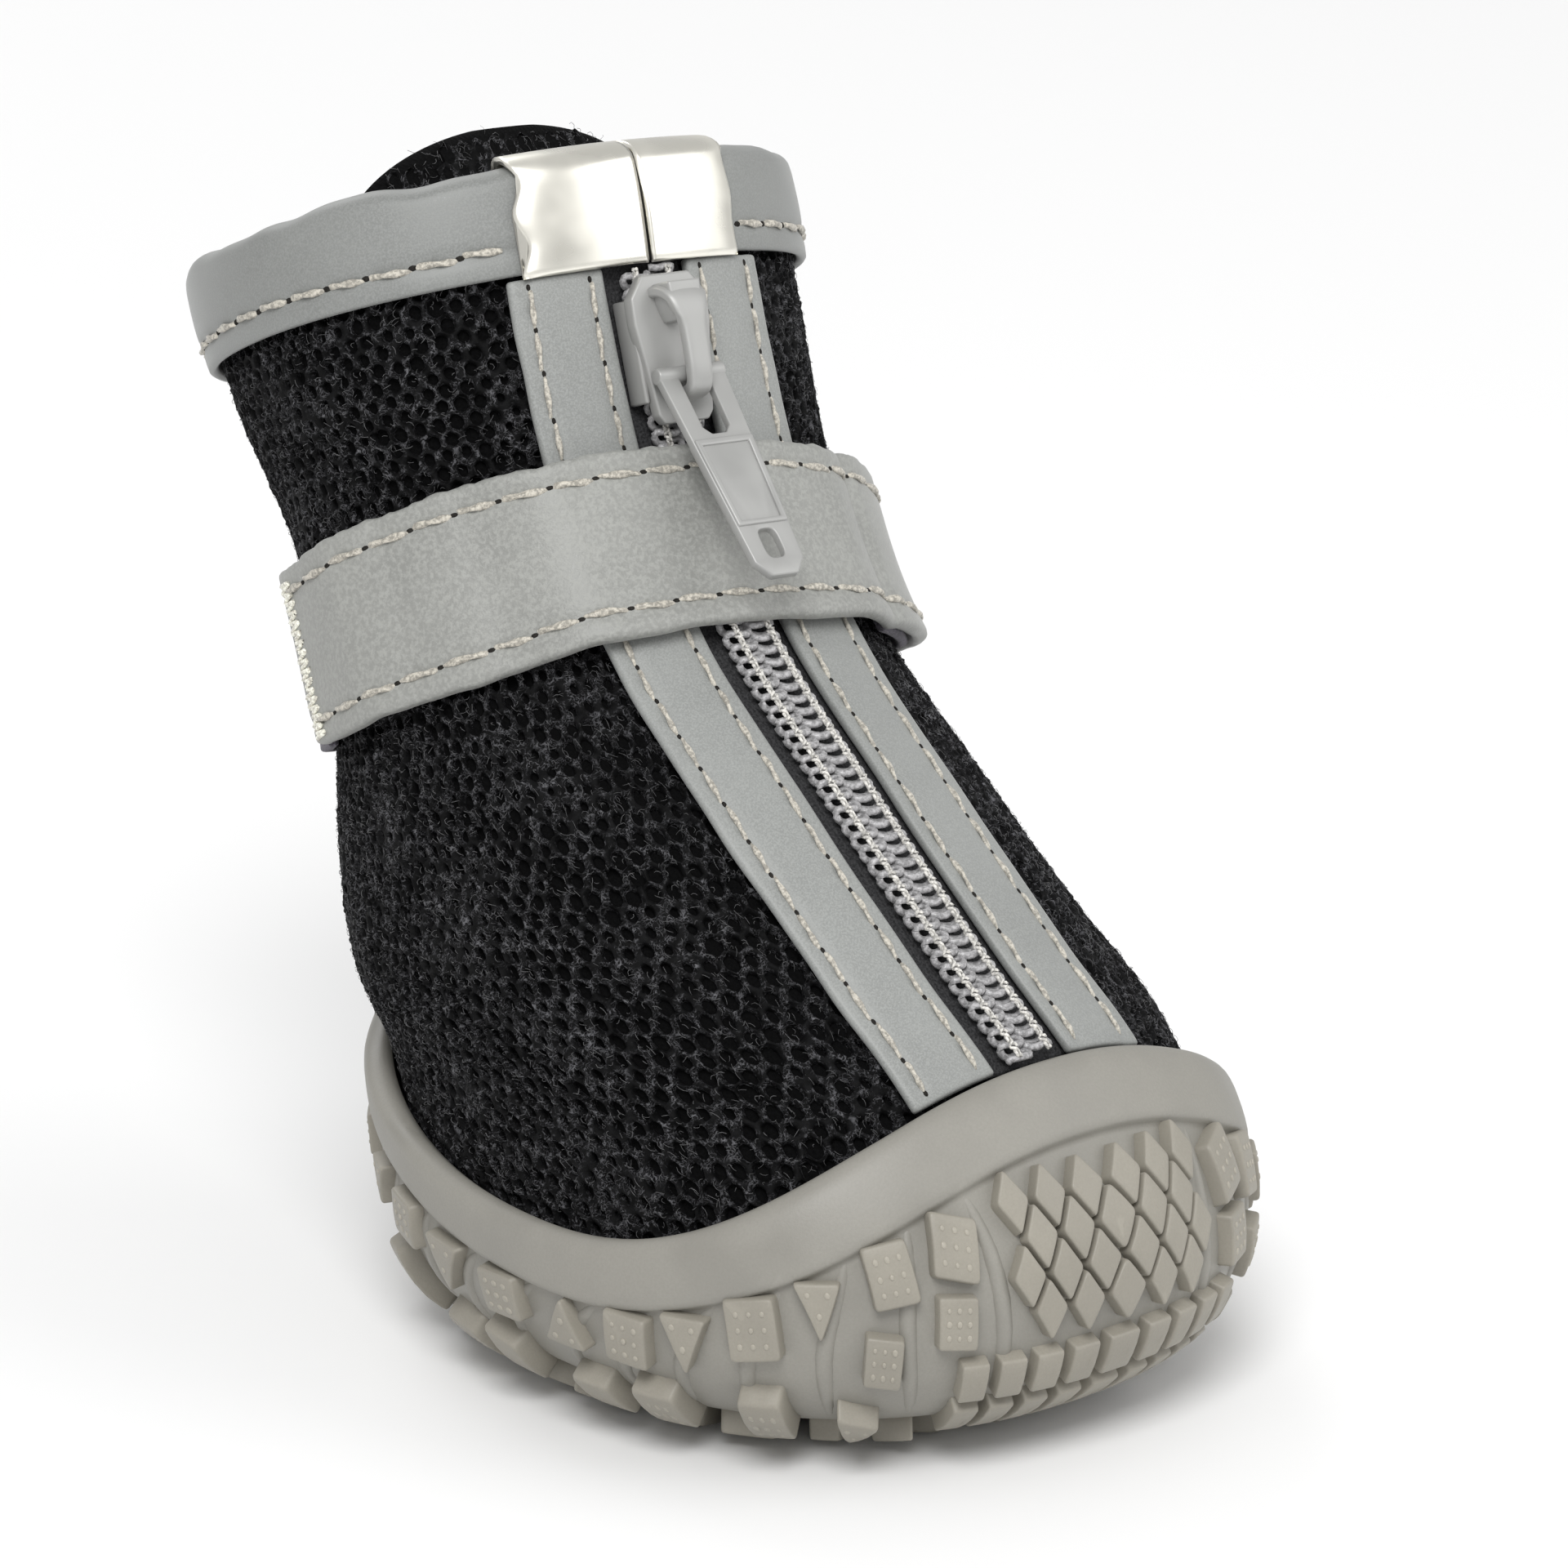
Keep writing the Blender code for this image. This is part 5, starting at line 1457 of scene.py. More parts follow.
class TapeSettings(bpy.types.PropertyGroup):
    colour: colour_setting("Colour", "Colour of the reflective tape", (0.235, 0.242, 0.233))
    thread: colour_setting("Thread", "Colour of the sewing thread", (0.43, 0.405, 0.35))
    pitch: FloatProperty(name="Stitch", description="Length of one stitch", unit="LENGTH", default=3.1 * MM)


class BOOT_OT_edge_tapes(bpy.types.Operator):
    """Reflective tapes beside the zip, each with two rows of stitches"""
    bl_idname = "boot.edge_tapes"
    bl_label = "Edge tapes"

    def execute(self, context):
        settings = context.scene.boot_tape
        tape = tape_finish("Reflective tape", settings.colour, 7000.0, 0.02 * MM)
        thread = thread_finish("Tape thread", settings.thread)
        loop = rounded_loop(TAPE_INNER, TAPE_OUTER, CLEAR, CLEAR + TAPE_THICK, 0.32 * MM, across=28)
        holes = ThreadSet()
        for name, sign in (("edge_tape_left", -1), ("edge_tape_right", 1)):
            def wavy(way, side, depth):
                share = (side - TAPE_INNER) / (TAPE_OUTER - TAPE_INNER)
                outer = waver(way, 30 + sign, 0.31, 0.10 * MM) * share
                inner = waver(way, 40 + sign, 0.43, 0.08 * MM) * (1 - share)
                swell = 0.07 * MM * np.sin(np.clip(share, 0, 1) * math.pi) - groove(side, TAPE_SEAMS)
                top_side = depth > CLEAR + TAPE_THICK / 2
                t, phi = tape_line(way, (side + outer + inner) * sign)
                return layer(t, phi, np.where(top_side, depth + swell, depth))
            made = sweep(name + "_cloth", wavy, np.linspace(0, 1, 90), loop, 0.004, tape)
            settle(made, "boot", "reflective_tape", name)
            threads = ThreadSet()
            top = CLEAR + TAPE_THICK - 0.06 * MM
            for seed, across in enumerate(TAPE_SEAMS):
                path = SeamPath(*tape_line(np.linspace(0.01, 0.99, 240), across * sign), top)
                threads.stitches(path, settings.pitch, THIN_THREAD, 50 + seed + sign * 3, holes)
            settle(threads.build(name + "_stitches", thread), "boot", "reflective_tape")
        settle(holes.build("tape_pinholes", hole_finish()), "boot", "reflective_tape")
        return {"FINISHED"}


def fold_loop(foot, out_low, thick, steps=7):
    """Loop of (t, depth) for a soft sheet folded over the collar's edge."""
    edge = AT["collar"]
    outer = out_low + thick
    inner = -WALL - out_low - thick
    middle = (outer + inner) / 2
    half = (outer - inner) / 2

    def bend(rise, reach, first, last):
        return [(edge - 0.3 * MM + (rise + 0.3 * MM) * math.sin(a), middle + reach * math.cos(a))
                for a in np.linspace(first, last, steps * 2 + 1)]
    straight = np.linspace(foot + 0.25 * MM, edge - 0.6 * MM, 20)
    loop = [(foot + 0.02 * MM, outer - thick * 0.5), (foot + 0.08 * MM, outer - thick * 0.18)]
    loop += [(t, outer + 0.16 * MM * math.sin((t - foot) / (edge - foot) * math.pi)) for t in straight]
    loop += bend(outer, half, 0, math.pi)
    loop += [(t, inner) for t in straight[::-1]]
    loop += [(foot + 0.02 * MM, inner + thick * 0.5)]
    loop += [(t, inner + thick) for t in straight]
    loop += bend(out_low, half - thick, math.pi, 0)
    loop += [(t, outer - thick) for t in straight[::-1]]
    return np.array(loop)


class BOOT_OT_binding(bpy.types.Operator):
    """Reflective band folded over the collar's edge, with its row of stitches"""
    bl_idname = "boot.binding"
    bl_label = "Collar binding"

    def execute(self, context):
        settings = context.scene.boot_tape
        cloth = tape_finish("Collar binding", tint(settings.colour, 0.84), 7000.0, 0.02 * MM)
        thread = thread_finish("Collar thread", settings.thread)
        loop = fold_loop(binding_foot(), CLEAR, BINDING_THICK)
        start = float(phi_of(AT["collar"], CLEAR))
        seam = binding_foot() + BINDING_SEAM
        angles = np.linspace(start, 2 * math.pi - start, 260)
        lift = waver(angles, 60, 0.9, 0.35 * MM) * np.clip((angles - start) / 0.3, 0, 1)
        rows = []
        for angle, up in zip(angles, lift):
            share = np.clip((loop[:, 0] - AT["collar"] + 2.5 * MM) / (3 * MM), 0, 1)
            outside = loop[:, 1] > CLEAR + BINDING_THICK * 0.6
            pull = np.where(outside, groove(loop[:, 0], (seam,), 0.22 * MM, 0.5 * MM), 0.0)
            rows.append(layer(loop[:, 0] + up * share, angle, loop[:, 1] - pull))
        made = tube_loft("binding_cloth", np.array(rows), cloth)
        settle(made, "boot", "reflective_tape", "collar_binding")
        clip_left = float(phi_of(AT["collar"], CLIP_LEFT_WIDE))
        clip_right = float(phi_of(AT["collar"], CLIP_RIGHT_WIDE))
        line = np.linspace(clip_right + 0.04, 2 * math.pi - clip_left - 0.04, 500)
        path = SeamPath(seam, line, CLEAR + BINDING_THICK - 0.03 * MM)
        threads, holes = ThreadSet(), ThreadSet()
        threads.stitches(path, settings.pitch * 1.05, THICK_THREAD, 61, holes)
        settle(threads.build("binding_stitches", thread), "boot", "reflective_tape")
        settle(holes.build("binding_pinholes", hole_finish()), "boot", "reflective_tape")
        return {"FINISHED"}


def strap_place(phi, side, depth):
    """Points of the strap: angle, distance above its middle line, and height above its inner face."""
    return layer(strap_way(phi) + side, phi, strap_depth(phi) + depth)


class StrapSettings(bpy.types.PropertyGroup):
    colour: colour_setting("Colour", "Colour of the reflective strap", (0.250, 0.253, 0.238))
    loops: colour_setting("Loops", "Colour of the loop band", (0.11, 0.10, 0.125))


class BOOT_OT_strap(bpy.types.Operator):
    """Reflective strap round the ankle, and the loop band under it"""
    bl_idname = "boot.strap"
    bl_label = "Strap"

    def execute(self, context):
        settings = context.scene.boot_strap
        cloth = tape_finish("Reflective strap", settings.colour, 2900.0, 0.09 * MM)
        thread = thread_finish("Strap thread", context.scene.boot_tape.thread)
        half = STRAP_WIDE / 2
        tip = half / (WIDTH * 0.42)
        loop = rounded_loop(-half, half, 0.0, STRAP_THICK, 0.42 * MM, across=36)
        seams = (half - STRAP_SEAM, STRAP_SEAM - half)
        plain = np.linspace(STRAP_START, STRAP_END - tip, 240)
        ends = STRAP_END - tip + tip * np.sin(np.radians(np.linspace(6, 88, 16)))
        rows = []
        for phi in np.concatenate([plain, ends]):
            over = max(0.0, (phi - STRAP_END + tip) / tip)
            wide = max(0.04, math.sqrt(max(0.0, 1 - over * over)))
            side, depth = loop.T
            share = side / half
            angle = phi + 0 * share
            upper = waver(angle, 70, 0.55, 0.16 * MM) + waver(angle, 73, 0.11, 0.09 * MM)
            edge = np.where(share > 0, upper, waver(angle, 71, 0.6, 0.12 * MM))
            swell = (0.12 * MM * (1 - share ** 4) - groove(side, seams)) * (depth > STRAP_THICK / 2)
            rows.append(strap_place(angle, side * wide + edge * np.abs(share), depth + swell))
        made = tube_loft("strap_cloth", np.array(rows), cloth)
        settle(made, "boot", "reflective_strap", "strap")
        threads, holes = ThreadSet(), ThreadSet()
        line = np.linspace(STRAP_START + 0.02, STRAP_END - tip, 700)
        for seed, side in enumerate(seams):
            path = SeamPath(strap_way(line) + side, line, strap_depth(line) + STRAP_THICK - 0.03 * MM)
            threads.stitches(path, STRAP_STITCH, THICK_THREAD, 72 + seed, holes)
        across = np.linspace(seams[1], seams[0], 60)
        turn = STRAP_END - tip * 0.9 + 0.5 * tip * np.sqrt(np.maximum(0, 1 - (across / seams[0]) ** 2))
        path = SeamPath(strap_way(turn) + across, turn, strap_depth(turn) + STRAP_THICK - 0.03 * MM)
        threads.stitches(path, TIP_STITCH, THICK_THREAD, 76, holes)
        settle(threads.build("strap_stitches", thread), "boot", "reflective_strap")
        way = np.arange(0, 34.01, 0.2)
        zigzag = 0.5 - 0.5 * np.cos(way * math.pi)
        zigzag = zigzag + np.random.default_rng(SEED + 77).normal(0, 0.06, len(way))
        points = strap_place(STRAP_START + OVERLOCK_WIDE * zigzag, half * (0.86 - 0.053 * way),
                             STRAP_THICK + 0.12 * MM - 0.35 * MM * (zigzag < 0.12))
        overlock = ThreadSet()
        overlock.cord(points, OVERLOCK_THREAD)
        pale = thread_finish("Overlock thread", tint(context.scene.boot_tape.thread, 1.9))
        settle(overlock.build("strap_overlock", pale), "boot", "reflective_strap")
        settle(holes.build("strap_pinholes", hole_finish()), "boot", "reflective_strap")
        loop = rounded_loop(-LOOP_WIDE / 2, LOOP_WIDE / 2, CLEAR, CLEAR + LOOP_THICK, 0.3 * MM, across=18)

        def band(phi, side, depth):
            return layer(strap_way(phi) + side, phi, depth)
        ways = np.linspace(LOOP_START, LOOP_END, 150)
        made = sweep("loop_band_knit", band, ways, loop, 0.01, knit_finish(settings.loops))
        settle(made, "boot", "loop_knit", "loop_band")
        return {"FINISHED"}


# Zip


def zip_frame(t):
    """Axes on the zip: x across, y up along it, z outward, at a place on its centre line."""
    step = 0.1 * MM
    across = last_surface(t, 0.01) - last_surface(t, -0.01)
    along = last_surface(t + step, 0.0) - last_surface(t - step, 0.0)
    x = Vector(across).normalized()
    z = x.cross(Vector(along)).normalized()
    y = z.cross(x)
    made = Matrix((x, y, z)).transposed().to_4x4()
    made.translation = Vector(last_surface(t, 0.0))
    return made


COIL_WIRE = 0.27 * MM
COIL_MIDDLE = 1.02 * MM
COIL_REACH = 1.0 * MM
CHAIN_LINE = 1.32
CHAIN_THREAD = 0.12 * MM


class ZipSettings(bpy.types.PropertyGroup):
    coil: colour_setting("Coil", "Colour of the coil", (0.33, 0.325, 0.33))
    chain: colour_setting("Chain stitch", "Colour of the thread on the coil", (0.60, 0.585, 0.55))
    weave: colour_setting("Weave", "Colour of the zip's tape", (0.05, 0.05, 0.052))
    paint: colour_setting("Paint", "Colour of the slider and pull", (0.37, 0.37, 0.36))
    pitch: FloatProperty(name="Pitch", description="Way from coil to coil", unit="LENGTH", default=1.12 * MM)


def zip_point(way, across, depth):
    """Points beside the zip's centre line."""
    return layer(way, phi_of(way, across), depth)


class BOOT_OT_zip(bpy.types.Operator):
    """Woven tape, two coils and the chain stitches on them"""
    bl_idname = "boot.zip"
    bl_label = "Zip"

    def execute(self, context):
        settings = context.scene.boot_zip
        weave = lining_finish("Zip weave", settings.weave)
        half = SLOT_HALF - CLEAR
        loop = rounded_loop(-half, half, -ZIP_TAPE_THICK, 0.0, 0.2 * MM, across=14)
        ways = np.linspace(zip_foot() + CLEAR, AT["collar"] - CLEAR, 80)
        made = sweep("zip_tape_weave", zip_point, ways, loop, 0.2 * MM, weave)
        settle(made, "boot", "zip_weave", "zip_tape")
        start = zip_foot() + 2 * CLEAR
        end = binding_foot() - CLIP_OVER - CLEAR
        ways = np.linspace(start, end, 600)
        scale = SeamPath(ways, 0 * ways, CLEAR)
        coil = thread_finish("Zip coil", settings.coil)
        coil.node_tree.nodes["Principled BSDF"].inputs["Coat Weight"].default_value = 0.5
        middle = CLEAR + COIL_THICK / 2
        turns = scale.length / settings.pitch
        samples = int(turns * 18)
        theta = np.linspace(0, 2 * math.pi * turns, samples)
        coils = ThreadSet()
        for side in (-1, 1):
            drift = (0.25 if side > 0 else -0.25) * settings.pitch
            swing = np.sin(theta)
            along = theta / (2 * math.pi) * settings.pitch + drift
            along = along + 0.22 * settings.pitch * np.sin(theta * 2 + 0.5)
            t = np.interp(np.clip(along, 0, scale.length), scale.ways, ways)
            across = side * (COIL_MIDDLE + COIL_REACH * np.cos(theta))
            depth = middle + (COIL_THICK / 2 - COIL_WIRE) * swing
            coils.cord(zip_point(t, across, depth), COIL_WIRE, columns=7)
        settle(coils.build("zip_coil_wire", coil), "boot", "zip_coil", "zip_coil")
        chain = ThreadSet()
        rows = int(turns * 10)
        along = np.linspace(0, scale.length, rows)
        t = np.interp(along, scale.ways, ways)
        wave = along / settings.pitch * 2 * math.pi
        for line in (-CHAIN_LINE, CHAIN_LINE):
            for phase in (0.0, math.pi):
                across = (line + 0.19 * np.sin(wave + phase)) * MM
                depth = CLEAR + COIL_THICK - 0.02 * MM + 0.12 * MM * np.cos(wave * 2 + phase)
                chain.cord(zip_point(t, across, depth), CHAIN_THREAD, columns=6)
        pale = thread_finish("Chain stitch", settings.chain)
        settle(chain.build("zip_chain_stitch", pale), "boot", "zip_coil", "zip_coil")
        return {"FINISHED"}


SLIDER_LONG = 10.5 * MM
SLIDER_WIDE = 6.4 * MM
SLIDER_NOSE = 4.6 * MM
PLATE_THICK = 1.1 * MM
FLANGE_THICK = 0.6 * MM
BRIDGE_WIDE = 1.8 * MM
BRIDGE_LONG = 8.0 * MM
BRIDGE_THICK = 1.0 * MM
PIN_RADIUS = 0.6 * MM
PIN_PLACE = -2.0 * MM
PULL_LONG = 17.0 * MM
PULL_WIDE = 5.6 * MM
PULL_TIP = 4.0 * MM
PULL_THICK = 1.1 * MM
PULL_WINDOW_LONG = 5.2 * MM
PULL_HOLE_WIDE = 1.5 * MM
PULL_HOLE_LONG = 2.4 * MM
PULL_HOLE_FROM_TIP = 2.6 * MM
PULL_TILT = math.radians(27)
BEVEL_FROM = math.radians(28)
SHARP_FROM = math.radians(38)


def slider_frame():
    """The slider's middle, along the zip, and its axes."""
    top = AT["collar"] - BINDING_DROP - CLEAR
    return zip_frame(top - SLIDER_LONG / 2 - 1.2 * MM)


def solid_prism(outline, low, high, hole=None):
    """A bmesh prism between two heights from an outline in x and y, with an optional hole's outline."""
    body = bmesh.new()
    rings = [outline] + ([hole] if hole is not None else [])
    edges = []
    for ring in rings:
        verts = [body.verts.new((x, y, low)) for x, y in ring]
        edges += [body.edges.new((verts[j], verts[(j + 1) % len(verts)])) for j in range(len(verts))]
    bmesh.ops.triangle_fill(body, use_beauty=True, use_dissolve=False, edges=edges)
    made = bmesh.ops.extrude_face_region(body, geom=body.faces[:])
    for vert in (g for g in made["geom"] if isinstance(g, bmesh.types.BMVert)):
        vert.co.z = high
    bmesh.ops.recalc_face_normals(body, faces=body.faces)
    return body


def mirrored(right):
    """A closed outline from its right half, given from the lower end up."""
    return right + [(-x, y) for x, y in right[::-1]]


def finish_solid(name, bodies, matrix, material, bevel):
    """One object from several bmesh bodies, each with bevelled corners."""
    total = bmesh.new()
    for body in bodies:
        sharp = [e for e in body.edges if len(e.link_faces) == 2 and e.calc_face_angle(0) > BEVEL_FROM]
        bmesh.ops.bevel(body, geom=sharp, offset=bevel, segments=3, profile=0.5, affect="EDGES",
                        clamp_overlap=True)
        part = bpy.data.meshes.new("part")
        body.to_mesh(part)
        body.free()
        total.from_mesh(part)
        bpy.data.meshes.remove(part)
    bmesh.ops.transform(total, matrix=matrix, verts=total.verts)
    mesh = bpy.data.meshes.new(name)
    total.to_mesh(mesh)
    total.free()
    mesh.materials.append(material)
    mesh.shade_smooth()
    mesh.set_sharp_from_angle(angle=SHARP_FROM)
    made = bpy.data.objects.new(name, mesh)
    bpy.context.scene.collection.objects.link(made)
    return made


def bridge_body(top, beam):
    """The bridge: a bar over the pull's pin that opens into a wide hood at the slider's upper end."""
    reach = BRIDGE_LONG / 2
    middle = beam + BRIDGE_THICK / 2
    route = (
        (reach - 0.05 * MM, top - 0.4 * MM, 1.75 * MM), (reach, top + 0.8 * MM, 1.75 * MM),
        (reach - 0.5 * MM, middle - 0.35 * MM, 1.65 * MM), (reach - 1.5 * MM, middle, 1.4 * MM),
        (1.6 * MM, middle, 0.98 * MM), (0.0, middle, 0.92 * MM), (-1.9 * MM, middle, 0.9 * MM),
        (-reach + 0.9 * MM, middle - 0.25 * MM, 0.9 * MM), (-reach + 0.6 * MM, top + 0.8 * MM, 0.9 * MM),
        (-reach + 0.6 * MM, top - 0.4 * MM, 0.9 * MM),
    )
    knots = np.array(route)
    for _ in range(2):
        quarter = 0.75 * knots[:-1] + 0.25 * knots[1:]
        three = 0.25 * knots[:-1] + 0.75 * knots[1:]
        inner = np.stack([quarter, three], 1).reshape(-1, 3)[1:-1]
        knots = np.concatenate([knots[:1], inner, knots[-1:]])
    way = unit(np.gradient(knots[:, :2], axis=0))
    normal = np.stack([-way[:, 1], way[:, 0]], -1)
    ring = rounded_loop(-1.0, 1.0, -1.0, 1.0, 0.45, across=5)
    body = bmesh.new()
    rows = []
    for (y, z, half), (ny, nz) in zip(knots, normal):
        dome = 1 - 0.22 * (ring[:, 0] ** 2) * (half > 1.2 * MM)
        lift = ring[:, 1] * BRIDGE_THICK / 2 * dome
        rows.append([body.verts.new((u * half, y + ny * d, z + nz * d)) for u, d in zip(ring[:, 0], lift)])
    count = len(ring)
    for first, second in zip(rows[:-1], rows[1:]):
        for j in range(count):
            body.faces.new((first[j], first[(j + 1) % count], second[(j + 1) % count], second[j]))
    body.faces.new(rows[0])
    body.faces.new(rows[-1])
    bmesh.ops.recalc_face_normals(body, faces=body.faces)
    return body


class BOOT_OT_slider(bpy.types.Operator):
    """Painted slider with its domed bridge, and the pull tab hinged in it"""
    bl_idname = "boot.slider"
    bl_label = "Slider and pull"

    def execute(self, context):
        paint = metal_finish("Zip paint", context.scene.boot_zip.paint, 0.42, 0.35)
        base = slider_frame()
        low = 2 * CLEAR + COIL_THICK
        top = low + PLATE_THICK
        beam = top + 2 * CLEAR + 2 * PIN_RADIUS
        half = SLIDER_LONG / 2
        wide = SLIDER_WIDE / 2
        nose = SLIDER_NOSE / 2
        plate = mirrored([(nose * 0.8, -half), (nose, -half + 0.6 * MM), (wide * 0.86, -half * 0.2),
                          (wide, half * 0.35), (wide, half * 0.7), (wide * 0.62, half)])
        bodies = [solid_prism(plate, low, top)]
        inner = COIL_HALF + CLEAR
        for side in (-1, 1):
            flange = [(inner * side, -half * 0.7), ((inner + FLANGE_THICK * 0.6) * side, -half * 0.7),
                      ((inner + FLANGE_THICK) * side, half * 0.7), (inner * side, half * 0.7)]
            bodies.append(solid_prism(flange, CLEAR, low + PLATE_THICK / 2))
        bodies.append(bridge_body(top, beam))
        hood = mirrored([(0.8 * MM, 1.7 * MM), (1.25 * MM, 3.0 * MM), (1.35 * MM, half - 0.75 * MM)])
        bodies.append(solid_prism(hood, top - 0.1 * MM, beam + BRIDGE_THICK * 0.35))
        made = finish_solid("zip_slider_body", bodies, base, paint, 0.18 * MM)
        settle(made, "boot", "zip_paint", "zip_slider")
        pin_height = top + CLEAR + PIN_RADIUS
        axis = base @ Matrix.Translation((0.0, PIN_PLACE, pin_height))
        resting = axis @ Matrix.Rotation(-PULL_TILT, 4, "X")
        arm_inner = BRIDGE_WIDE / 2 + CLEAR

        def half_at(y):
            return PULL_WIDE / 2 + (PULL_TIP / 2 - PULL_WIDE / 2) * min(1.0, max(0.0, -y / PULL_LONG))
        tip = PULL_LONG - PULL_TIP * 0.3
        window = PULL_WINDOW_LONG
        outline = mirrored([(half_at(-PULL_LONG) * 0.55, -PULL_LONG), (half_at(-tip), -tip),
                            (half_at(-window), -window), (half_at(0), 0.0), (arm_inner, 0.0),
                            (arm_inner * 0.95, -window + 0.6 * MM), (arm_inner * 0.5, -window)])
        middle = -PULL_LONG + PULL_HOLE_FROM_TIP
        reach_x = PULL_HOLE_WIDE / 2
        reach_y = PULL_HOLE_LONG / 2
        hole = []
        for a in np.linspace(0, 2 * math.pi, 24, endpoint=False):
            across = np.sign(math.cos(a)) * abs(math.cos(a)) ** 0.55
            along = np.sign(math.sin(a)) * abs(math.sin(a)) ** 0.55
            hole.append((reach_x * across, middle + reach_y * along))
        tab = solid_prism(outline, -PULL_THICK / 2 + 0.2 * MM, PULL_THICK / 2 - 0.2 * MM, hole)
        panel_top = -window - 0.95 * MM
        panel_foot = middle + reach_y + 0.75 * MM
        rim_top = panel_top + 0.5 * MM
        rim_foot = panel_foot - 0.4 * MM
        inset = 0.55 * MM
        border = mirrored([(half_at(rim_foot) - 0.1 * MM, rim_foot), (half_at(rim_top) - 0.1 * MM, rim_top)])
        panel = mirrored([(half_at(panel_foot) - inset, panel_foot), (half_at(panel_top) - inset, panel_top)])
        frame_ring = solid_prism(border, -PULL_THICK / 2, PULL_THICK / 2, panel)
        pin = bmesh.new()
        bmesh.ops.create_cone(pin, cap_ends=True, segments=24, radius1=PIN_RADIUS, radius2=PIN_RADIUS,
                              depth=PULL_WIDE, matrix=Matrix.Rotation(math.pi / 2, 4, "Y"))
        made = finish_solid("zip_pull_tab", [tab, pin, frame_ring], resting, paint, 0.13 * MM)
        settle(made, "pull", "zip_paint", "zip_pull")
        return {"FINISHED"}


class ClipSettings(bpy.types.PropertyGroup):
    colour: colour_setting("Colour", "Colour of the bright plates", (0.90, 0.88, 0.80))


class BOOT_OT_clips(bpy.types.Operator):
    """Bright folded plates at the top of the zip"""
    bl_idname = "boot.clips"
    bl_label = "End clips"

    def execute(self, context):
        bright = metal_finish("Bright clip", context.scene.boot_clip.colour, 0.3, painted_pale=0.0)
        gap = 2 * CLEAR + BINDING_THICK
        loop = fold_loop(binding_foot() - CLIP_OVER, gap, CLIP_THICK)
        plates = (("end_clip_left", -1, CLIP_LEFT_WIDE), ("end_clip_right", 1, CLIP_RIGHT_WIDE))
        for name, side, wide in plates:
            rows = []
            way = (loop[:, 0] - loop[:, 0].min()) / np.ptp(loop[:, 0])
            notch = 0.35 * MM * np.cos(way * 4 * math.pi) * (1 if side < 0 else 0.3)
            for share in np.linspace(0, 1, 30):
                reach = CLEAR / 2 + (wide - CLEAR / 2) * share + notch * share ** 6 - 0.25 * MM * share ** 6
                dent = 0.07 * MM * math.sin(share * 5.2 + side) - 0.25 * MM * share ** 12
                outside = loop[:, 1] > gap + CLIP_THICK * 0.6
                phi = phi_of(AT["collar"], reach * side)
                rows.append(layer(loop[:, 0], phi, loop[:, 1] + dent * outside))
            settle(tube_loft(name + "_plate", np.array(rows), bright), "boot", "bright_clip", name)
        return {"FINISHED"}


# Studio


class StageSettings(bpy.types.PropertyGroup):
    lens: FloatProperty(name="Lens", description="Focal length in millimetres", default=206.8)
    key: FloatProperty(name="Key light", description="Power of the main lamp in watts", default=9.0)
    fill: FloatProperty(name="Fill light", description="Power of the side lamp in watts", default=2.0)
    sky: FloatProperty(name="Sky", description="Strength of the surrounding light", default=0.6)
    floor: colour_setting("Floor", "Colour of the floor", (0.88, 0.88, 0.88))


CAMERA_PLACE = Vector((-0.3993, -0.4465, 0.2311))
CAMERA_WAY = Vector((0.63389, 0.71184, -0.30312))


def aim(item, target):
    """Turns a lamp or camera to a point."""
    item.rotation_mode = "QUATERNION"
    item.rotation_quaternion = (Vector(target) - item.location).to_track_quat("-Z", "Y")


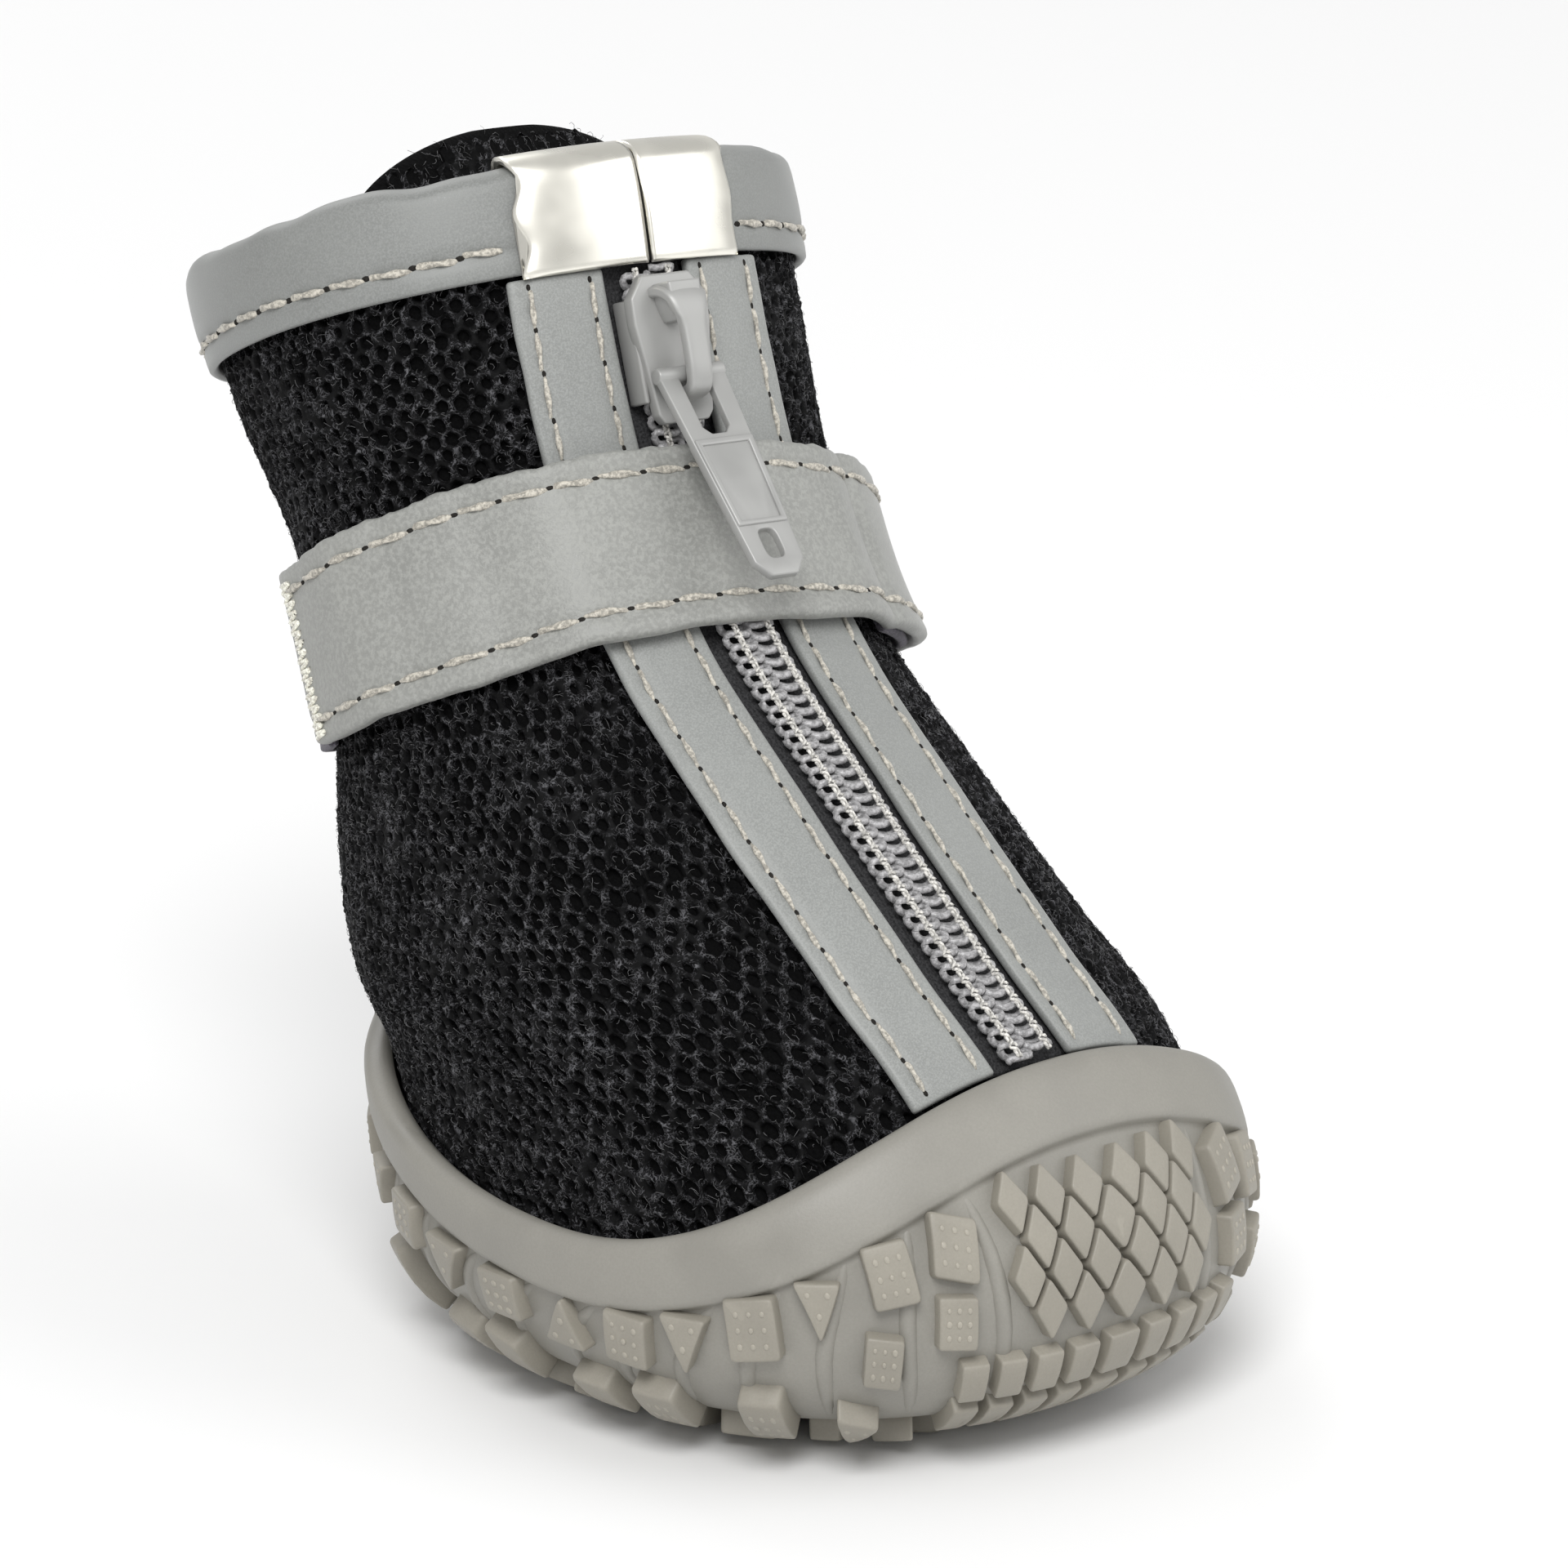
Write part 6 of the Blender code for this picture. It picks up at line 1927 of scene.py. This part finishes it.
class BOOT_OT_stage(bpy.types.Operator):
    """Pale floor, soft lamps and the camera"""
    bl_idname = "boot.stage"
    bl_label = "Stage"

    def execute(self, context):
        settings = context.scene.boot_stage
        scene = context.scene
        camera = bpy.data.objects.new("camera", bpy.data.cameras.new("camera"))
        scene.collection.objects.link(camera)
        camera.location = CAMERA_PLACE
        aim(camera, CAMERA_PLACE + CAMERA_WAY)
        camera.data.sensor_width = 36.0
        camera.data.lens = settings.lens
        camera.data.clip_start = 0.01
        camera.data.clip_end = 20.0
        scene.camera = camera
        floor = Finish("Floor", 0.75)
        floor.colour(floor.shade(floor.grain(300.0, 3.0)["Patches"], settings.floor, 0.99, 1.0))
        body = bmesh.new()
        bmesh.ops.create_circle(body, cap_ends=True, segments=64, radius=4.0)
        mesh = bpy.data.meshes.new("floor")
        body.to_mesh(mesh)
        body.free()
        mesh.materials.append(floor.material)
        ground = bpy.data.objects.new("floor", mesh)
        scene.collection.objects.link(ground)
        middle = Vector((0.0, 0.01, 0.04))
        lamps = (("key", (-0.55, -0.55, 0.85), 0.6, settings.key),
                 ("fill", (0.5, -0.6, 0.45), 0.7, settings.fill),
                 ("back", (0.25, 0.8, 0.6), 0.6, settings.fill))
        for name, place, size, power in lamps:
            lamp = bpy.data.lights.new(name, "AREA")
            lamp.shape = "DISK"
            lamp.size = size
            lamp.energy = power
            holder = bpy.data.objects.new(name, lamp)
            holder.location = middle + Vector(place)
            aim(holder, middle)
            scene.collection.objects.link(holder)
        world = bpy.data.worlds.new("studio")
        world.use_nodes = True
        background = world.node_tree.nodes["Background"].inputs
        background["Color"].default_value = (1.0, 1.0, 1.0, 1.0)
        background["Strength"].default_value = settings.sky
        scene.world = world
        scene.view_settings.view_transform = "Standard"
        return {"FINISHED"}


GROUPS = {
    "boot_rubber": RubberSettings,
    "boot_mesh": MeshSettings,
    "boot_tape": TapeSettings,
    "boot_strap": StrapSettings,
    "boot_zip": ZipSettings,
    "boot_clip": ClipSettings,
    "boot_stage": StageSettings,
}
OPERATORS = (
    BOOT_OT_stage, BOOT_OT_outsole, BOOT_OT_insole, BOOT_OT_upper, BOOT_OT_edge_tapes, BOOT_OT_binding,
    BOOT_OT_strap, BOOT_OT_zip, BOOT_OT_slider, BOOT_OT_clips,
)


class BOOT_PT_looks(bpy.types.Panel):
    """Lists the boot's pieces"""
    bl_label = "Dog boot"
    bl_space_type = "VIEW_3D"
    bl_region_type = "UI"
    bl_category = "Boot"

    def draw(self, context):
        for operator in OPERATORS:
            self.layout.operator(operator.bl_idname)
        for name in GROUPS:
            settings = getattr(context.scene, name)
            box = self.layout.box()
            for field in settings.__annotations__:
                box.prop(settings, field)


def register():
    for settings in GROUPS.values():
        bpy.utils.register_class(settings)
    for name, settings in GROUPS.items():
        setattr(bpy.types.Scene, name, PointerProperty(type=settings))
    for operator in OPERATORS:
        bpy.utils.register_class(operator)
    bpy.utils.register_class(BOOT_PT_looks)


def unregister():
    bpy.utils.unregister_class(BOOT_PT_looks)
    for operator in reversed(OPERATORS):
        bpy.utils.unregister_class(operator)
    for name in GROUPS:
        delattr(bpy.types.Scene, name)
    for settings in reversed(GROUPS.values()):
        bpy.utils.unregister_class(settings)


def main():
    register()
    for operator in OPERATORS:
        getattr(bpy.ops.boot, operator.bl_idname.split(".")[1])()


if __name__ == "__main__":
    main()
